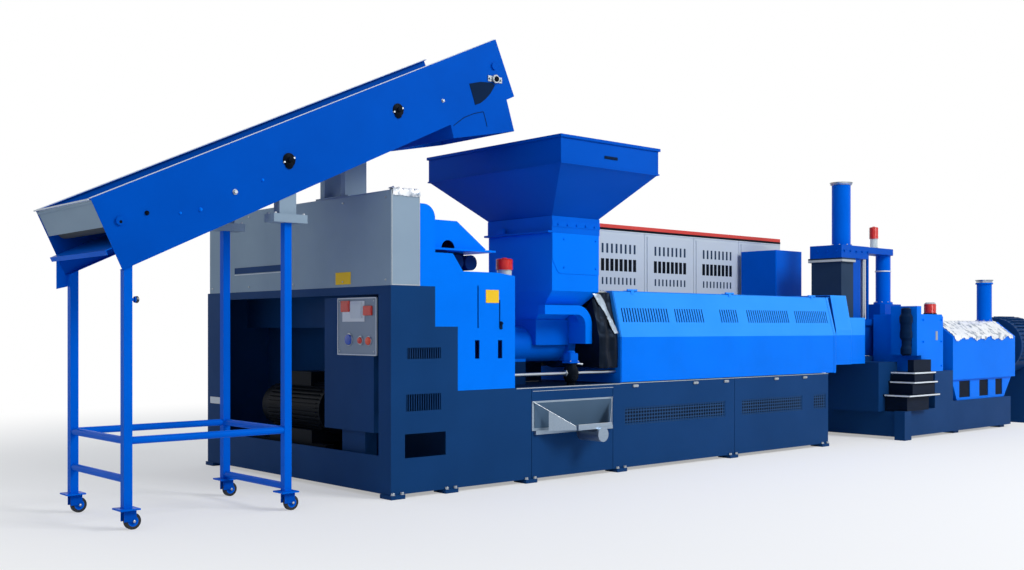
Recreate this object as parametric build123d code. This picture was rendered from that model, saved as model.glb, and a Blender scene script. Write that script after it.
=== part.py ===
from build123d import *
import math
import os

# Millimetres. X runs along the screw, Y from the front to the back, Z up from the floor.
os.makedirs("parts", exist_ok=True)

# Fits and sheet
SHEET = 4
THICK_SHEET = 8
RUN_GAP = 6
PIN_FIT = 0.08

# Base and drive housing
FOOT_H = 30
BASE_X0 = 600
BASE_X1 = 5450
BASE_W = 1000
BASE_TOP = 740
HOUSE_D = 2740
HOUSE_STEP_X = 390
HOUSE_STEP_Z = 1210
HOUSE_TOP = 1500
SEAMS = (1335, 2256, 3900)
RIB_X = (1425, 2250, 3075, 3900, 4675)
FEET_X = (1320, 2350, 3870, 5380)
HOUSE_FEET_X = (50, 530)
GRILLES = ((2400, 3760, 386, 530), (4010, 4990, 386, 530), (5190, 5410, 386, 530))
GRILLE_SEAT = 6
HOOD_X1 = 253
HOOD_D = 2700
HOOD_TOP = 2170
BELT_GUARD_TOP = 2090
END_OPENING = (150, 2370, 295, 1440)
HOUSE_WINDOWS = ((138, 443, 980, 1060), (130, 443, 610, 730), (120, 488, 280, 450))
BOX_FACE = 18
PANEL = (185, 690, 1000, 1422)
PANEL_T = 10
PANEL_RIM = 14
DRIVE_MOTOR = (300, 560, 195, 1100, 1900)
HYD_TOP = 2100

# Screw line
AXIS_Y = 500
AXIS_Z = 1060
FEED_R = 150
BARREL_R = 110
BAND_R = 150
GEARBOX_X1 = 1163
COVER_HIGH = 1745
COVER_LOW = 1618
COVER_SLOTS = ((788, 800, 1200, 1516), (1002, 1014, 1200, 1412), (764, 808, 972, 1110),
               (990, 1034, 970, 1108))
LEDGE_Z = 1770
LEDGE_X1 = 985
SHROUD_TOP = 1990
ARCH_X = 556
ARCH_R = 62
BEACONS = ((1122, 76, 1596, 66, 50, 78), (7320, -110, 1352, 66, 12, 100), (7070, 440, 2113, 50, 105, 125))
FEED_X1 = 2120
JACKET_GAP = 5
JACKET_LOW = 865
BARREL_NUT = (5720, 5780)
ADAPTER_X1 = 6335

# Guard over the barrel
GUARD_X0 = 2352
GUARD_X1 = 5640
GUARD_KNEE_Z = 1125
GUARD_TOP = 1515
GUARD_LEAN = 100
GUARD_NOSE = 80
CAP_TOP_X1 = 5960
CAP_TOP = 1540
CAP_X1 = 6300
CAP_LOW = 820
CAP_STEP = 1310
CAP_IN = 30
CAP_SIDE = 80
HINGE_X = (2600, 3950, 5300)
HINGE_AT = (98, 1524)
HINGE_PIN_R = 5
HINGE_R = 9
HINGE_L = 40
FLAP_SLOT_Z = (1250, 1370)
SLOT_GROUPS = ((2420, 3040), (3110, 3530), (3750, 4050), (4160, 4840), (4940, 5530))
SLOT_W = 14
SLOT_PITCH = 34

# Hopper
RIM = (1346, 2461, -317, 1317)
RIM_TOP = 2670
RIM_BAND = 212
NECK = (1662, 2199, 110, 890)
NECK_TOP = 2103
NECK_LOW = 1967
THROAT_LOW = (1690, 2020, 330, 630)
BOSS_TOP = 1270
THROAT_FLARE = 230
THROAT_SQUARE = BOSS_TOP + THROAT_FLARE
SADDLE_X0 = 1585
SADDLE_TOP = BOSS_TOP + 115
SADDLE_T = 75
SADDLE_W = 80
SADDLE_R = 165
SADDLE_LOW = 1070
PLATE_LOW = 1640
PLATE_IN = 70
PLATE_R = 110
VALVE_AT = (1835, 70)
PIPE_Z = 835
PIPE_R = 14
TRAY = (1341, 2250, 1640, 2022, 190, 400, 630)

# Conveyor, drawn level in its own frame and then tipped up
TILT = 25
TAIL_X = -1900
TAIL_Z = 1541
CONV_L = 3420
CONV_D = 450
CONV_Y0 = 50
CONV_Y1 = 950
PULLEY_R = 50
PULLEY_Z = 270
PULLEY_IN = 105
PAN_Z = 140
FLANGE = 38
BELT_T = 6
BELT_EDGE = 45
LEG_X = (-1860, -780)
LEG_Y = (90, 930)
TUBE = 52
RAIL_R = 23
RAIL_Z = 530
RAIL_LOW = (300, 160)
CLAMP_Z = 1370
PAD_Z = 1890
PAD_T = 55
HEAD_GAP = 700
CHUTE_BACK = 626
CHUTE_L = 549
CHUTE_DROP = 97
CASTOR_H = 130
CASTOR_R = 50
CASTOR_TRAIL = 35
SWIVEL_GAP = 2
KINGPIN_R = 8
AXLE_R = 6

# Second stage
S2_Y0 = -200
S2_Y1 = 1250
S2_AXIS_Y = 120
S2_AXIS_Z = 940
S2_X0 = 6540
S2_X1 = 9120
S2_LEDGE = 300
S2_TOP = 370
GEARBOX2 = (6960, 7443, -200, 380, 720, 1352)
COVER2 = (7673, 9240, -200, 440, 610, 1275)
COVER2_SHOULDER = (220, 175)
SKIRT_WINDOWS = ((7880, 8140), (8370, 8595), (8780, 8960))
MOTOR2 = (9240, 9380, 9950, 980, 340)
CHANGER_Y = (400, 780)
CHANGER_X0 = ADAPTER_X1
CHANGER_TOP = 2113
HEADER_T = 140
SHELF_Z = 1300
MELT_Z = 890
RAM_AT = (7410, 520)
ROD_AT = (6970, 520)
POST_AT = (7065, 520)
BLOCK2 = (7205, 7600, 400, 620, MELT_Z - 10, 1475)
STACK = ((10, 470, -60, 200, 150), (-30, 620, -110, 200, 22), (90, 560, -80, 200, 118),
         (80, 580, -105, 200, 24), (120, 520, -85, 200, 76), (100, 560, -95, 0, 26), (130, 500, -70, 0, 130))
VENTS = ((6620, 580, CHANGER_TOP, 2830, 103), (9100, 120, 1275, 1760, 88))


def block(x0, x1, y0, y1, z0, z1):
    return Pos((x0 + x1) / 2, (y0 + y1) / 2, (z0 + z1) / 2) * Box(x1 - x0, y1 - y0, z1 - z0)


def rod_x(x0, x1, y, z, r):
    return Pos((x0 + x1) / 2, y, z) * Rot(0, 90, 0) * Cylinder(r, x1 - x0)


def rod_y(x, y0, y1, z, r):
    return Pos(x, (y0 + y1) / 2, z) * Rot(90, 0, 0) * Cylinder(r, y1 - y0)


def rod_z(x, y, z0, z1, r):
    return Pos(x, y, (z0 + z1) / 2) * Cylinder(r, z1 - z0)


def face_xz(points):
    return Plane.XZ * make_face(Polyline(*points, close=True))


def face_yz(points):
    return Plane.YZ * make_face(Polyline(*points, close=True))


def prism_y(points, y0, y1):
    return Pos(0, y0, 0) * extrude(face_xz(points), amount=-(y1 - y0))


def prism_x(points, x0, x1):
    return Pos(x0, 0, 0) * extrude(face_yz(points), amount=x1 - x0)


def inset(points, gap):
    outline = make_face(Polyline(*points, close=True))
    inner = offset(outline, amount=-gap, kind=Kind.INTERSECTION)
    wire = inner.faces()[0].outer_wire()
    return [(v.X, v.Y) for v in [e.position_at(0) for e in wire.order_edges()]]


def joined(shapes):
    whole = shapes[0]
    for shape in shapes[1:]:
        whole = whole + shape
    return whole


def loft_box(low, z_low, high, z_high):
    faces = []
    for (x0, x1, y0, y1), z in ((low, z_low), (high, z_high)):
        at = Plane(((x0 + x1) / 2, (y0 + y1) / 2, z))
        faces.append(at * Rectangle(x1 - x0, y1 - y0))
    return loft(faces)


def grown(rect, by):
    return (rect[0] - by, rect[1] + by, rect[2] - by, rect[3] + by)


# Base, feet and grilles
def base_frame():
    wall = 12
    body = block(BASE_X0, BASE_X1, 0, BASE_W, FOOT_H, BASE_TOP)
    stops = [BASE_X0, *RIB_X, BASE_X1]
    for x0, x1 in zip(stops, stops[1:]):
        body -= block(x0 + wall, x1 - wall, wall, BASE_W - wall, FOOT_H, BASE_TOP - 20)
    for x in SEAMS:
        body -= block(x - 3, x + 3, 0, 4, FOOT_H, BASE_TOP)
    for x0, x1, z0, z1 in GRILLES:
        body -= block(x0, x1, 0, GRILLE_SEAT, z0, z1)
        body -= block(x0 + 15, x1 - 15, 0, wall, z0 + 15, z1 - 15)
    return body


def base_feet():
    pads = []
    for x in FEET_X:
        for y in (50, BASE_W - 50):
            pads.append(block(x - 60, x + 60, y - 70, y + 70, 0, FOOT_H))
    for x in HOUSE_FEET_X:
        for y in (50, HOUSE_D - 50):
            pads.append(block(x - 60, x + 60, y - 70, y + 70, 0, FOOT_H))
    return Compound(children=pads)


def base_grilles():
    plates = []
    for x0, x1, z0, z1 in GRILLES:
        plates.append(block(x0, x1, 2, GRILLE_SEAT, z0, z1))
    return Compound(children=plates)


# Drive end
def drive_housing():
    outline = [(0, FOOT_H), (BASE_X0, FOOT_H), (BASE_X0, HOUSE_STEP_Z), (HOUSE_STEP_X, HOUSE_STEP_Z),
               (HOUSE_STEP_X, HOUSE_TOP), (0, HOUSE_TOP)]
    t = THICK_SHEET
    body = prism_y(outline, 0, HOUSE_D)
    body -= prism_y(inset(outline, t), t, HOUSE_D - t)
    y0, y1, z0, z1 = END_OPENING
    body -= block(-1, t + 1, y0, y1, z0, z1)
    for x0, x1, z0, z1 in HOUSE_WINDOWS:
        body -= block(x0, x1, -1, t + 1, z0, z1)
    return body


def drive_motor():
    x, z, r, y0, y1 = DRIVE_MOTOR
    base_z = FOOT_H + THICK_SHEET
    seat_z = z - r / 3 * 4
    motor = rod_y(x, y0, y1, z, r) + rod_y(x, y1, y1 + 110, z, r - 20) + rod_y(x, y0 - 120, y0, z, 45)
    motor += block(x - r - 15, x + r + 15, y0 + 80, y1 - 80, seat_z, seat_z + 100)
    motor += block(x - 110, x + 110, y0 + 250, y1 - 250, z + r - 45, z + r + 95)
    for rail_x in (x + 25 - r, x + r - 25):
        motor += block(rail_x - 40, rail_x + 40, y0 - 120, y1 + 220, base_z, seat_z)
    return motor


def drive_hood():
    body = block(0, HOOD_X1, 0, HOOD_D, HOUSE_TOP, HOOD_TOP)
    body = fillet(body.edges().filter_by(Axis.Y).group_by(Axis.Z)[-1], 14)
    return body - block(SHEET, HOOD_X1 - SHEET, SHEET, HOOD_D - SHEET, HOUSE_TOP, HOOD_TOP - 14)


def control_box():
    body = block(BOX_FACE, BOX_FACE + 180, 235, 880, 450, END_OPENING[3] - 15)
    body += block(BOX_FACE + 40, BOX_FACE + 140, 400, 700, FOOT_H + THICK_SHEET, 450)
    return body


def control_panel():
    x0 = BOX_FACE - PANEL_T
    y0, y1, z0, z1 = PANEL
    plate = block(x0, BOX_FACE, y0, y1, z0, z1)
    plate = fillet(plate.edges().filter_by(Axis.X), 12)
    return plate - block(x0, x0 + 3, y0 + PANEL_RIM, y1 - PANEL_RIM, z0 + PANEL_RIM, z1 - PANEL_RIM)


def belt_guard():
    x0, x1 = HOOD_X1, HOUSE_STEP_X
    y1 = HOOD_D - 100
    body = block(x0, x1, 0, y1, HOUSE_TOP, BELT_GUARD_TOP)
    body = fillet(body.edges().filter_by(Axis.Y).group_by(Axis.Z)[-1].sort_by(Axis.X)[-1], 100)
    return body - block(x0 + SHEET, x1 - SHEET, SHEET, y1 - SHEET, HOUSE_TOP, BELT_GUARD_TOP - 105)


# Gearbox cover with its shroud
COVER = [(HOUSE_STEP_X, HOUSE_STEP_Z), (BASE_X0, HOUSE_STEP_Z), (BASE_X0, BASE_TOP), (GEARBOX_X1, BASE_TOP),
         (GEARBOX_X1, COVER_LOW - 20), (990, COVER_LOW), (649, COVER_LOW), (554, COVER_HIGH),
         (HOUSE_STEP_X, COVER_HIGH)]


def gearbox_cover():
    t = 6
    body = prism_y(COVER, 0, BASE_W) - prism_y(inset(COVER, t), t, BASE_W - t)
    for x0, x1, z0, z1 in COVER_SLOTS:
        body -= block(x0, x1, -1, t + 1, z0, z1)
    return body


def gearbox_shroud():
    ledge = block(HOUSE_STEP_X, LEDGE_X1, 20, BASE_W - 20, LEDGE_Z, LEDGE_Z + 14)
    y0, y1 = 60, BASE_W - 60
    z0 = LEDGE_Z + 14
    outline = [(HOUSE_STEP_X, z0), (900, z0), (922, z0 + 8), (640, SHROUD_TOP), (HOUSE_STEP_X, SHROUD_TOP)]
    arch = prism_y(outline, y0, y1) - prism_y(inset(outline, SHEET), y0 + SHEET, y1 - SHEET)
    arch -= rod_y(ARCH_X, y0 - 10, y0 + SHEET + 1, z0, ARCH_R)
    slope = [(554, COVER_HIGH), (649, COVER_LOW), (900, COVER_LOW), (900, LEDGE_Z), (554, LEDGE_Z)]
    core = prism_y(slope, 300, y1)
    top = block(HOUSE_STEP_X, 554, y0, y1, COVER_HIGH, LEDGE_Z)
    wheels = [rod_y(x, 150, 300, (COVER_LOW + LEDGE_Z) / 2, 58) for x in (720, 850)]
    return joined([ledge, arch, core, top] + wheels)


def warning_beacons():
    lamps = []
    for x, y, z, r, foot_h, lens_h in BEACONS:
        lens_z = z + foot_h
        foot = rod_z(x, y, z, lens_z, r - 6)
        lens = rod_z(x, y, lens_z, lens_z + lens_h, r)
        lens = fillet(lens.edges().group_by(Axis.Z)[-1], 8)
        knob = rod_z(x, y, lens_z + lens_h, lens_z + lens_h + 16, r * 0.25)
        lamps.append(foot + lens + knob)
    return Compound(children=lamps) - prism_y(COVER, 0, BASE_W)


# Feed section
def feed_housing():
    body = rod_x(GEARBOX_X1, FEED_X1, AXIS_Y, AXIS_Z, FEED_R)
    body += rod_x(GEARBOX_X1, GEARBOX_X1 + 45, AXIS_Y, AXIS_Z, FEED_R + 55)
    body += rod_x(FEED_X1 - SADDLE_T, FEED_X1, AXIS_Y, AXIS_Z, FEED_R + 45)
    x0, x1, y0, y1 = grown(THROAT_LOW, 20)
    body += block(x0, x1, y0, y1, AXIS_Z, BOSS_TOP)
    x0, x1, y0, y1 = grown(THROAT_LOW, -SHEET)
    body -= block(x0, x1, y0, y1, AXIS_Z, BOSS_TOP)
    return body + block(1420, 1640, AXIS_Y - 100, AXIS_Y + 100, BASE_TOP, AXIS_Z)


def throat_funnel(gap=0):
    return loft_box(grown(THROAT_LOW, -gap), BOSS_TOP, grown(NECK, -gap), THROAT_SQUARE)


def feed_saddle():
    x_in = FEED_X1 - SADDLE_T
    z_in = SADDLE_TOP - SADDLE_T
    y0, y1 = NECK[2], NECK[3]
    section = [(SADDLE_X0, SADDLE_TOP), (FEED_X1, SADDLE_TOP), (FEED_X1, SADDLE_LOW), (x_in, SADDLE_LOW),
               (x_in, z_in), (SADDLE_X0, z_in)]
    body = prism_y(section, y0, y1)
    outer = [e for e in body.edges().filter_by(Axis.Y)
             if e.center().X > FEED_X1 - 1 and e.center().Z > SADDLE_TOP - 1]
    body = fillet(outer, SADDLE_R)
    inner = [e for e in body.edges().filter_by(Axis.Y)
             if abs(e.center().X - x_in) < 1 and abs(e.center().Z - z_in) < 1]
    body = fillet(inner, SADDLE_R - SADDLE_T)
    body -= block(SADDLE_X0 - 1, x_in - 2, y0 + SADDLE_W, y1 - SADDLE_W, z_in - SADDLE_R, SADDLE_TOP + 1)
    body -= rod_x(x_in - SADDLE_R, FEED_X1 + 1, AXIS_Y, AXIS_Z, FEED_R + 45)
    return body - throat_funnel()


def hopper():
    band_low = RIM_TOP - RIM_BAND
    body = block(RIM[0], RIM[1], RIM[2], RIM[3], band_low, RIM_TOP)
    body -= block(RIM[0] + SHEET, RIM[1] - SHEET, RIM[2] + SHEET, RIM[3] - SHEET, band_low, RIM_TOP - SHEET)
    lip = grown(RIM, -28)
    body -= block(lip[0], lip[1], lip[2], lip[3], RIM_TOP - SHEET, RIM_TOP)
    funnel = loft_box(NECK, NECK_TOP, RIM, band_low)
    funnel -= loft_box(grown(NECK, -SHEET), NECK_TOP, grown(RIM, -SHEET), band_low)
    return body + funnel


def hopper_collar():
    x0, x1, y0, y1 = grown(NECK, 6)
    body = block(x0, x1, y0, y1, NECK_LOW, NECK_TOP)
    body += block(x0, x1, y0 - 4, y0, NECK_LOW + 50, NECK_TOP - 35)
    body += block(x0 - 42, x1, y0, y1, NECK_LOW, NECK_LOW + 16)
    x0, x1, y0, y1 = grown(NECK, -SHEET)
    body -= block(x0, x1, y0, y1, NECK_LOW, NECK_TOP)
    lug = block(NECK[0] - 62, NECK[0] - 30, 640, 720, NECK_LOW + 16, NECK_LOW + 60)
    return body + lug


def hopper_throat():
    inner = grown(NECK, -SHEET)
    body = block(NECK[0], NECK[1], NECK[2], NECK[3], THROAT_SQUARE, NECK_LOW)
    body -= block(inner[0], inner[1], inner[2], inner[3], THROAT_SQUARE, NECK_LOW)
    body += throat_funnel() - throat_funnel(SHEET)
    outline = [(NECK[0], NECK_LOW), (NECK[1], NECK_LOW), (NECK[1], PLATE_LOW),
               (NECK[0] + PLATE_IN, PLATE_LOW), (NECK[0], PLATE_LOW + PLATE_R)]
    plate = prism_y(outline, NECK[2] - 5, NECK[2])
    corner = [e for e in plate.edges().filter_by(Axis.Y)
              if e.center().Z < PLATE_LOW + PLATE_R + 1 and e.center().X < NECK[1] - 1]
    return body + fillet(corner, 60)


def insulation_jacket():
    x0 = FEED_X1 + JACKET_GAP
    body = prism_x(guard_points(JACKET_LOW, 14), x0, GUARD_X0)
    body = fillet(body.edges().filter_by(Axis.X), 45)
    low_x, high_x = THROAT_LOW[1] + 12, NECK[1] + 12
    body -= prism_y([(low_x, BOSS_TOP), (high_x, THROAT_SQUARE), (high_x, GUARD_TOP), (low_x, GUARD_TOP)],
                    0, BASE_W)
    return body - rod_x(x0, GUARD_X0, AXIS_Y, AXIS_Z, BARREL_R)


# Barrel under the guard
BAND_X0 = 2400
BAND_N = 8
BAND_PITCH = 395
BAND_L = 310


def barrel():
    return rod_x(FEED_X1, ADAPTER_X1, AXIS_Y, AXIS_Z, BARREL_R) + rod_x(*BARREL_NUT, AXIS_Y, AXIS_Z, FEED_R)


def heater_bands():
    bands = []
    for i in range(BAND_N):
        x = BAND_X0 + i * BAND_PITCH
        ring = rod_x(x, x + BAND_L, AXIS_Y, AXIS_Z, BAND_R) - rod_x(x, x + BAND_L, AXIS_Y, AXIS_Z, BARREL_R)
        box_top = AXIS_Z + BAND_R + 45
        ring += block(x + 110, x + 200, AXIS_Y - 45, AXIS_Y + 45, AXIS_Z + BAND_R - 12, box_top)
        bands.append(ring)
    return Compound(children=bands)


def barrel_supports():
    posts = []
    for i in (2, 5):
        x = BAND_X0 + i * BAND_PITCH - (BAND_PITCH - BAND_L) / 2
        post = block(x - 30, x + 30, AXIS_Y - 120, AXIS_Y + 120, BASE_TOP, AXIS_Z)
        post += block(x - 80, x + 80, AXIS_Y - 160, AXIS_Y + 160, BASE_TOP, BASE_TOP + 20)
        posts.append(post - rod_x(x - 90, x + 90, AXIS_Y, AXIS_Z, BARREL_R))
    return Compound(children=posts)


# Guard section seen from the end
def guard_points(low, gap=0):
    return [(gap, low), (gap, GUARD_KNEE_Z), (GUARD_LEAN + gap, GUARD_TOP - gap),
            (BASE_W - GUARD_LEAN - gap, GUARD_TOP - gap), (BASE_W - gap, GUARD_KNEE_Z), (BASE_W - gap, low)]


def guard_rear():
    body = prism_x(guard_points(BASE_TOP), GUARD_X0 + RUN_GAP, GUARD_X1)
    body -= prism_x(guard_points(BASE_TOP - 1, SHEET), GUARD_X0, GUARD_X1 + 1)
    front = GUARD_LEAN + RUN_GAP
    body -= block(GUARD_X0 - 1, GUARD_X1 + 1, -1, front, BASE_TOP - 1, GUARD_TOP + 1)
    body += prism_x(guard_points(BASE_TOP), GUARD_X0, GUARD_X0 + RUN_GAP)
    nose = prism_x(guard_points(BASE_TOP), GUARD_X1 - GUARD_NOSE, GUARD_X1 + RUN_GAP)
    nose = fillet(nose.faces().sort_by(Axis.X)[-1].edges(), GUARD_NOSE - 12)
    nose -= prism_x(guard_points(BASE_TOP - 1, GUARD_NOSE), GUARD_X1 - GUARD_NOSE - 1, GUARD_X1)
    body += nose
    body -= rod_x(GUARD_X0 - 1, GUARD_X1 + 20, AXIS_Y, AXIS_Z, BARREL_R)
    return joined([body] + guard_hinges())


def guard_hinges():
    y, z = HINGE_AT
    hinges = []
    for x in HINGE_X:
        hinge = rod_x(x - 1.5 * HINGE_L, x + 1.5 * HINGE_L, y, z, HINGE_PIN_R)
        for x0 in (x - 1.5 * HINGE_L, x + 0.5 * HINGE_L + 2):
            x1 = x0 + HINGE_L - 2
            hinge += rod_x(x0, x1, y, z, HINGE_R)
            hinge += block(x0, x1, y, y + 50, GUARD_TOP, GUARD_TOP + 5)
        hinges.append(hinge)
    return hinges


def guard_flap():
    x0 = GUARD_X0 + 2 * RUN_GAP
    x1 = GUARD_X1 - GUARD_NOSE - RUN_GAP
    low = BASE_TOP + RUN_GAP
    lean = math.atan2(GUARD_LEAN, GUARD_TOP - GUARD_KNEE_Z)
    top_z = GUARD_TOP - RUN_GAP
    top_y = GUARD_LEAN - RUN_GAP * math.tan(lean)
    inner = SHEET / math.cos(lean)
    knee = GUARD_KNEE_Z - SHEET * math.tan(lean / 2)
    sheet = [(0, low), (0, GUARD_KNEE_Z), (top_y, top_z), (top_y + inner, top_z), (SHEET, knee),
             (SHEET, low + SHEET), (24, low + SHEET), (24, low)]
    body = prism_x(sheet, x0, x1)
    z0, z1 = FLAP_SLOT_Z
    cuts = []
    for g0, g1 in SLOT_GROUPS:
        count = int((g1 - g0) / SLOT_PITCH)
        for i in range(count):
            x = g0 + i * SLOT_PITCH
            cuts.append(block(x, x + SLOT_W, 10, 90, z0, z1))
    body = body - cuts
    y, z = HINGE_AT
    for x in HINGE_X:
        x0, x1 = x - HINGE_L / 2, x + HINGE_L / 2
        body += block(x0, x1, y - 8, y + 2, GUARD_TOP - 25, z)
        body += rod_x(x0, x1, y, z, HINGE_R)
        body -= rod_x(x0 - 1, x1 + 1, y, z, HINGE_PIN_R + PIN_FIT)
    return body


def cap_shape(gap):
    x0 = GUARD_X1 + RUN_GAP - (1 if gap else 0)
    y0 = CAP_IN + gap
    lean = GUARD_LEAN + gap
    low = CAP_LOW - (1 if gap else 0)
    knee = CAP_STEP - 130
    top = [(y0, knee), (lean, CAP_TOP - gap), (BASE_W - lean, CAP_TOP - gap), (BASE_W - y0, knee),
           (BASE_W - y0, low), (y0, low)]
    high = prism_x(top, x0, CAP_TOP_X1 - gap)
    high = fillet(high.faces().sort_by(Axis.X)[-1].edges().sort_by(Axis.Z)[1:], 30 - gap)
    wide = block(x0, CAP_X1 - gap, CAP_SIDE + gap, BASE_W - CAP_SIDE - gap, low, CAP_STEP - gap)
    wide = fillet(wide.edges().filter_by(Axis.Z).group_by(Axis.X)[-1], 24 - gap)
    return high + wide


def guard_end_cap():
    body = cap_shape(0) - cap_shape(SHEET)
    return body - rod_x(GUARD_X1, CAP_X1 + 10, AXIS_Y, AXIS_Z, BARREL_R)


def cooling_valve():
    x, y = VALVE_AT
    profile = [(0, 0), (34, 0), (34, 16), (48, 28), (62, 60), (64, 110), (60, 160), (44, 190), (44, 270),
               (34, 278), (0, 278)]
    body = Pos(x, y, BASE_TOP) * revolve(face_xz(profile), Axis.Z)
    body += rod_x(x - 66, x + 66, y, PIPE_Z, 26)
    return body + rod_x(x + 40, x + 78, y, 910, 6) + rod_x(x + 78, x + 86, y, 910, 18)


def water_pipe():
    x, y = VALVE_AT
    runs = [rod_x(GEARBOX_X1, x - 66, y, PIPE_Z, PIPE_R), rod_x(x + 66, GUARD_X0, y, PIPE_Z, PIPE_R)]
    return Compound(children=runs)


def discharge_tray():
    x0, x1, lip_x0, lip_x1, reach, z0, z1 = TRAY
    t = 3

    def flared(gap, low, high):
        plan = [(x0 + gap, 0), (lip_x0 + gap, -reach + gap), (lip_x1 - gap, -reach + gap), (x1 - gap, 0)]
        return Pos(0, 0, low) * extrude(make_face(Polyline(*plan, close=True)), amount=high - low)

    body = flared(0, z0, z1)
    slant = [(0, z1), (-reach, z0 + 25), (-reach - 60, z0 + 25), (-reach - 60, z1 + 60), (0, z1 + 60)]
    body -= prism_x(slant, x0 - 10, x1 + 10)
    body += block(lip_x0, lip_x1, -reach - 22, -reach, z0, z0 + 42)
    body += block(x0 + 20, x1 - 20, -24, 0, z0 - 30, z0)
    x, z = (lip_x0 + lip_x1) / 2 + 60, z0 - 45
    body += rod_y(x, -reach - 50, 0, z, 58)
    body -= rod_y(x, -reach - 46, -12, z, 52)
    body -= Pos(0, -t, 0) * flared(t, z0 + t, z1 + 10)
    return body - block(x - 40, x + 40, -reach + 20, -60, z, z0 + t + 1)


# Conveyor
def tipped(shape):
    return Location((TAIL_X, 0, TAIL_Z), (0, -TILT, 0)) * shape


def conveyor_sides():
    sides = []
    for y, sign in ((CONV_Y0, 1), (CONV_Y1, -1)):
        web = [block(0, CONV_L, min(y, y + sign * SHEET), max(y, y + sign * SHEET), 0, CONV_D)]
        for z in (0, CONV_D - SHEET):
            web.append(block(0, CONV_L, min(y, y + sign * FLANGE), max(y, y + sign * FLANGE), z, z + SHEET))
        plate = joined(web)
        plate = fillet(plate.edges().filter_by(Axis.Y).group_by(Axis.X)[0].sort_by(Axis.Z)[0], 3)
        for x, z in ((PULLEY_IN, PULLEY_Z), (CONV_L - PULLEY_IN, PULLEY_Z)):
            plate += rod_y(x, *sorted((y - sign * 14, y)), z, 26)
        sides.append(plate)
    return tipped(Compound(children=sides))


def belt_outline(r):
    x0, x1 = PULLEY_IN, CONV_L - PULLEY_IN
    body = block(x0, x1, CONV_Y0 + BELT_EDGE, CONV_Y1 - BELT_EDGE, PULLEY_Z - r, PULLEY_Z + r)
    for x in (x0, x1):
        body += rod_y(x, CONV_Y0 + BELT_EDGE, CONV_Y1 - BELT_EDGE, PULLEY_Z, r)
    return body


def conveyor_belt():
    return tipped(belt_outline(PULLEY_R + BELT_T) - belt_outline(PULLEY_R))


def conveyor_pulleys():
    drums = []
    for x in (PULLEY_IN, CONV_L - PULLEY_IN):
        drum = rod_y(x, CONV_Y0 + BELT_EDGE, CONV_Y1 - BELT_EDGE, PULLEY_Z, PULLEY_R)
        drums.append(drum + rod_y(x, CONV_Y0 + SHEET, CONV_Y1 - SHEET, PULLEY_Z, 20))
    return tipped(Compound(children=drums))


def conveyor_pan():
    y0, y1 = CONV_Y0 + SHEET, CONV_Y1 - SHEET
    pan = block(0, CONV_L - HEAD_GAP, y0, y1, PAN_Z, PAN_Z + SHEET)
    lip = block(-46, 0, y0, y1, PAN_Z, PAN_Z + SHEET) + block(-46, -46 + SHEET, y0, y1, PAN_Z - 26, PAN_Z)
    return tipped(pan + lip)


def tail_plate():
    y0, y1 = CONV_Y0 + SHEET, CONV_Y1 - SHEET
    plate = block(6, 6 + SHEET, y0, y1, PULLEY_Z, CONV_D - 24)
    return tipped(plate + rod_y(10, y0, y1, CONV_D - 22, 12))


def head_chute():
    x0 = CONV_L * math.cos(math.radians(TILT)) + TAIL_X - CHUTE_BACK
    x1 = x0 + CHUTE_L
    low = leg_top(x0) - CHUTE_DROP
    top = [(x1, leg_top(x1)), (x0, leg_top(x0))]
    outline = top + [(x0 + 29, low), (x1 + 78, low + 120)]
    t = SHEET
    inner = [(x1 - t - 6, leg_top(x1) + 20), (x0 + t - 6, leg_top(x0) + 20), (x0 + 29 + t + 8, low - 20),
             (x1 + 78 - t + 8, low + 100)]
    return prism_y(outline, CONV_Y0, CONV_Y1) - prism_y(inner, CONV_Y0 + t, CONV_Y1 - t)


def leg_top(x):
    return TAIL_Z + math.tan(math.radians(TILT)) * (x - TAIL_X)


def sloped_block(x0, x1, y0, y1, z0):
    return prism_y([(x0, z0), (x1, z0), (x1, leg_top(x1)), (x0, leg_top(x0))], y0, y1)


def conveyor_legs():
    h = TUBE / 2
    shapes = []
    for x in LEG_X:
        for y in LEG_Y:
            if x == LEG_X[0]:
                shapes.append(sloped_block(x - h, x + h, y - h, y + h, CASTOR_H))
            else:
                shapes.append(block(x - h, x + h, y - h, y + h, CASTOR_H, PAD_Z))
            shapes.append(block(x - 62, x + 62, y - 62, y + 62, CASTOR_H - 10, CASTOR_H))
    for y in LEG_Y:
        shapes.append(rod_x(LEG_X[0], LEG_X[1], y, RAIL_Z, RAIL_R))
    for x, z in ((LEG_X[0], RAIL_Z), (LEG_X[1], RAIL_Z), (LEG_X[0], RAIL_LOW[0]), (LEG_X[1], RAIL_LOW[1])):
        shapes.append(rod_y(x, LEG_Y[0], LEG_Y[1], z, RAIL_R))
    x = LEG_X[0] - h
    top = leg_top(x)
    gusset = [(x - 72, top + 114), (x - 72, top - 96), (x, top - 78), (x, top + 60)]
    shapes.append(prism_y(gusset, CONV_Y1, LEG_Y[1] + h))
    x, y = LEG_X[0], LEG_Y[0]
    shapes.append(rod_x(x + h, x + h + 22, y, CLAMP_Z, 9) + rod_x(x + h + 22, x + h + 38, y, CLAMP_Z, 19))
    body = joined(shapes)
    for x in LEG_X:
        for y in LEG_Y:
            body -= rod_z(x, y, CASTOR_H - 10, CASTOR_H + 40, KINGPIN_R + PIN_FIT)
    return body


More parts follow.
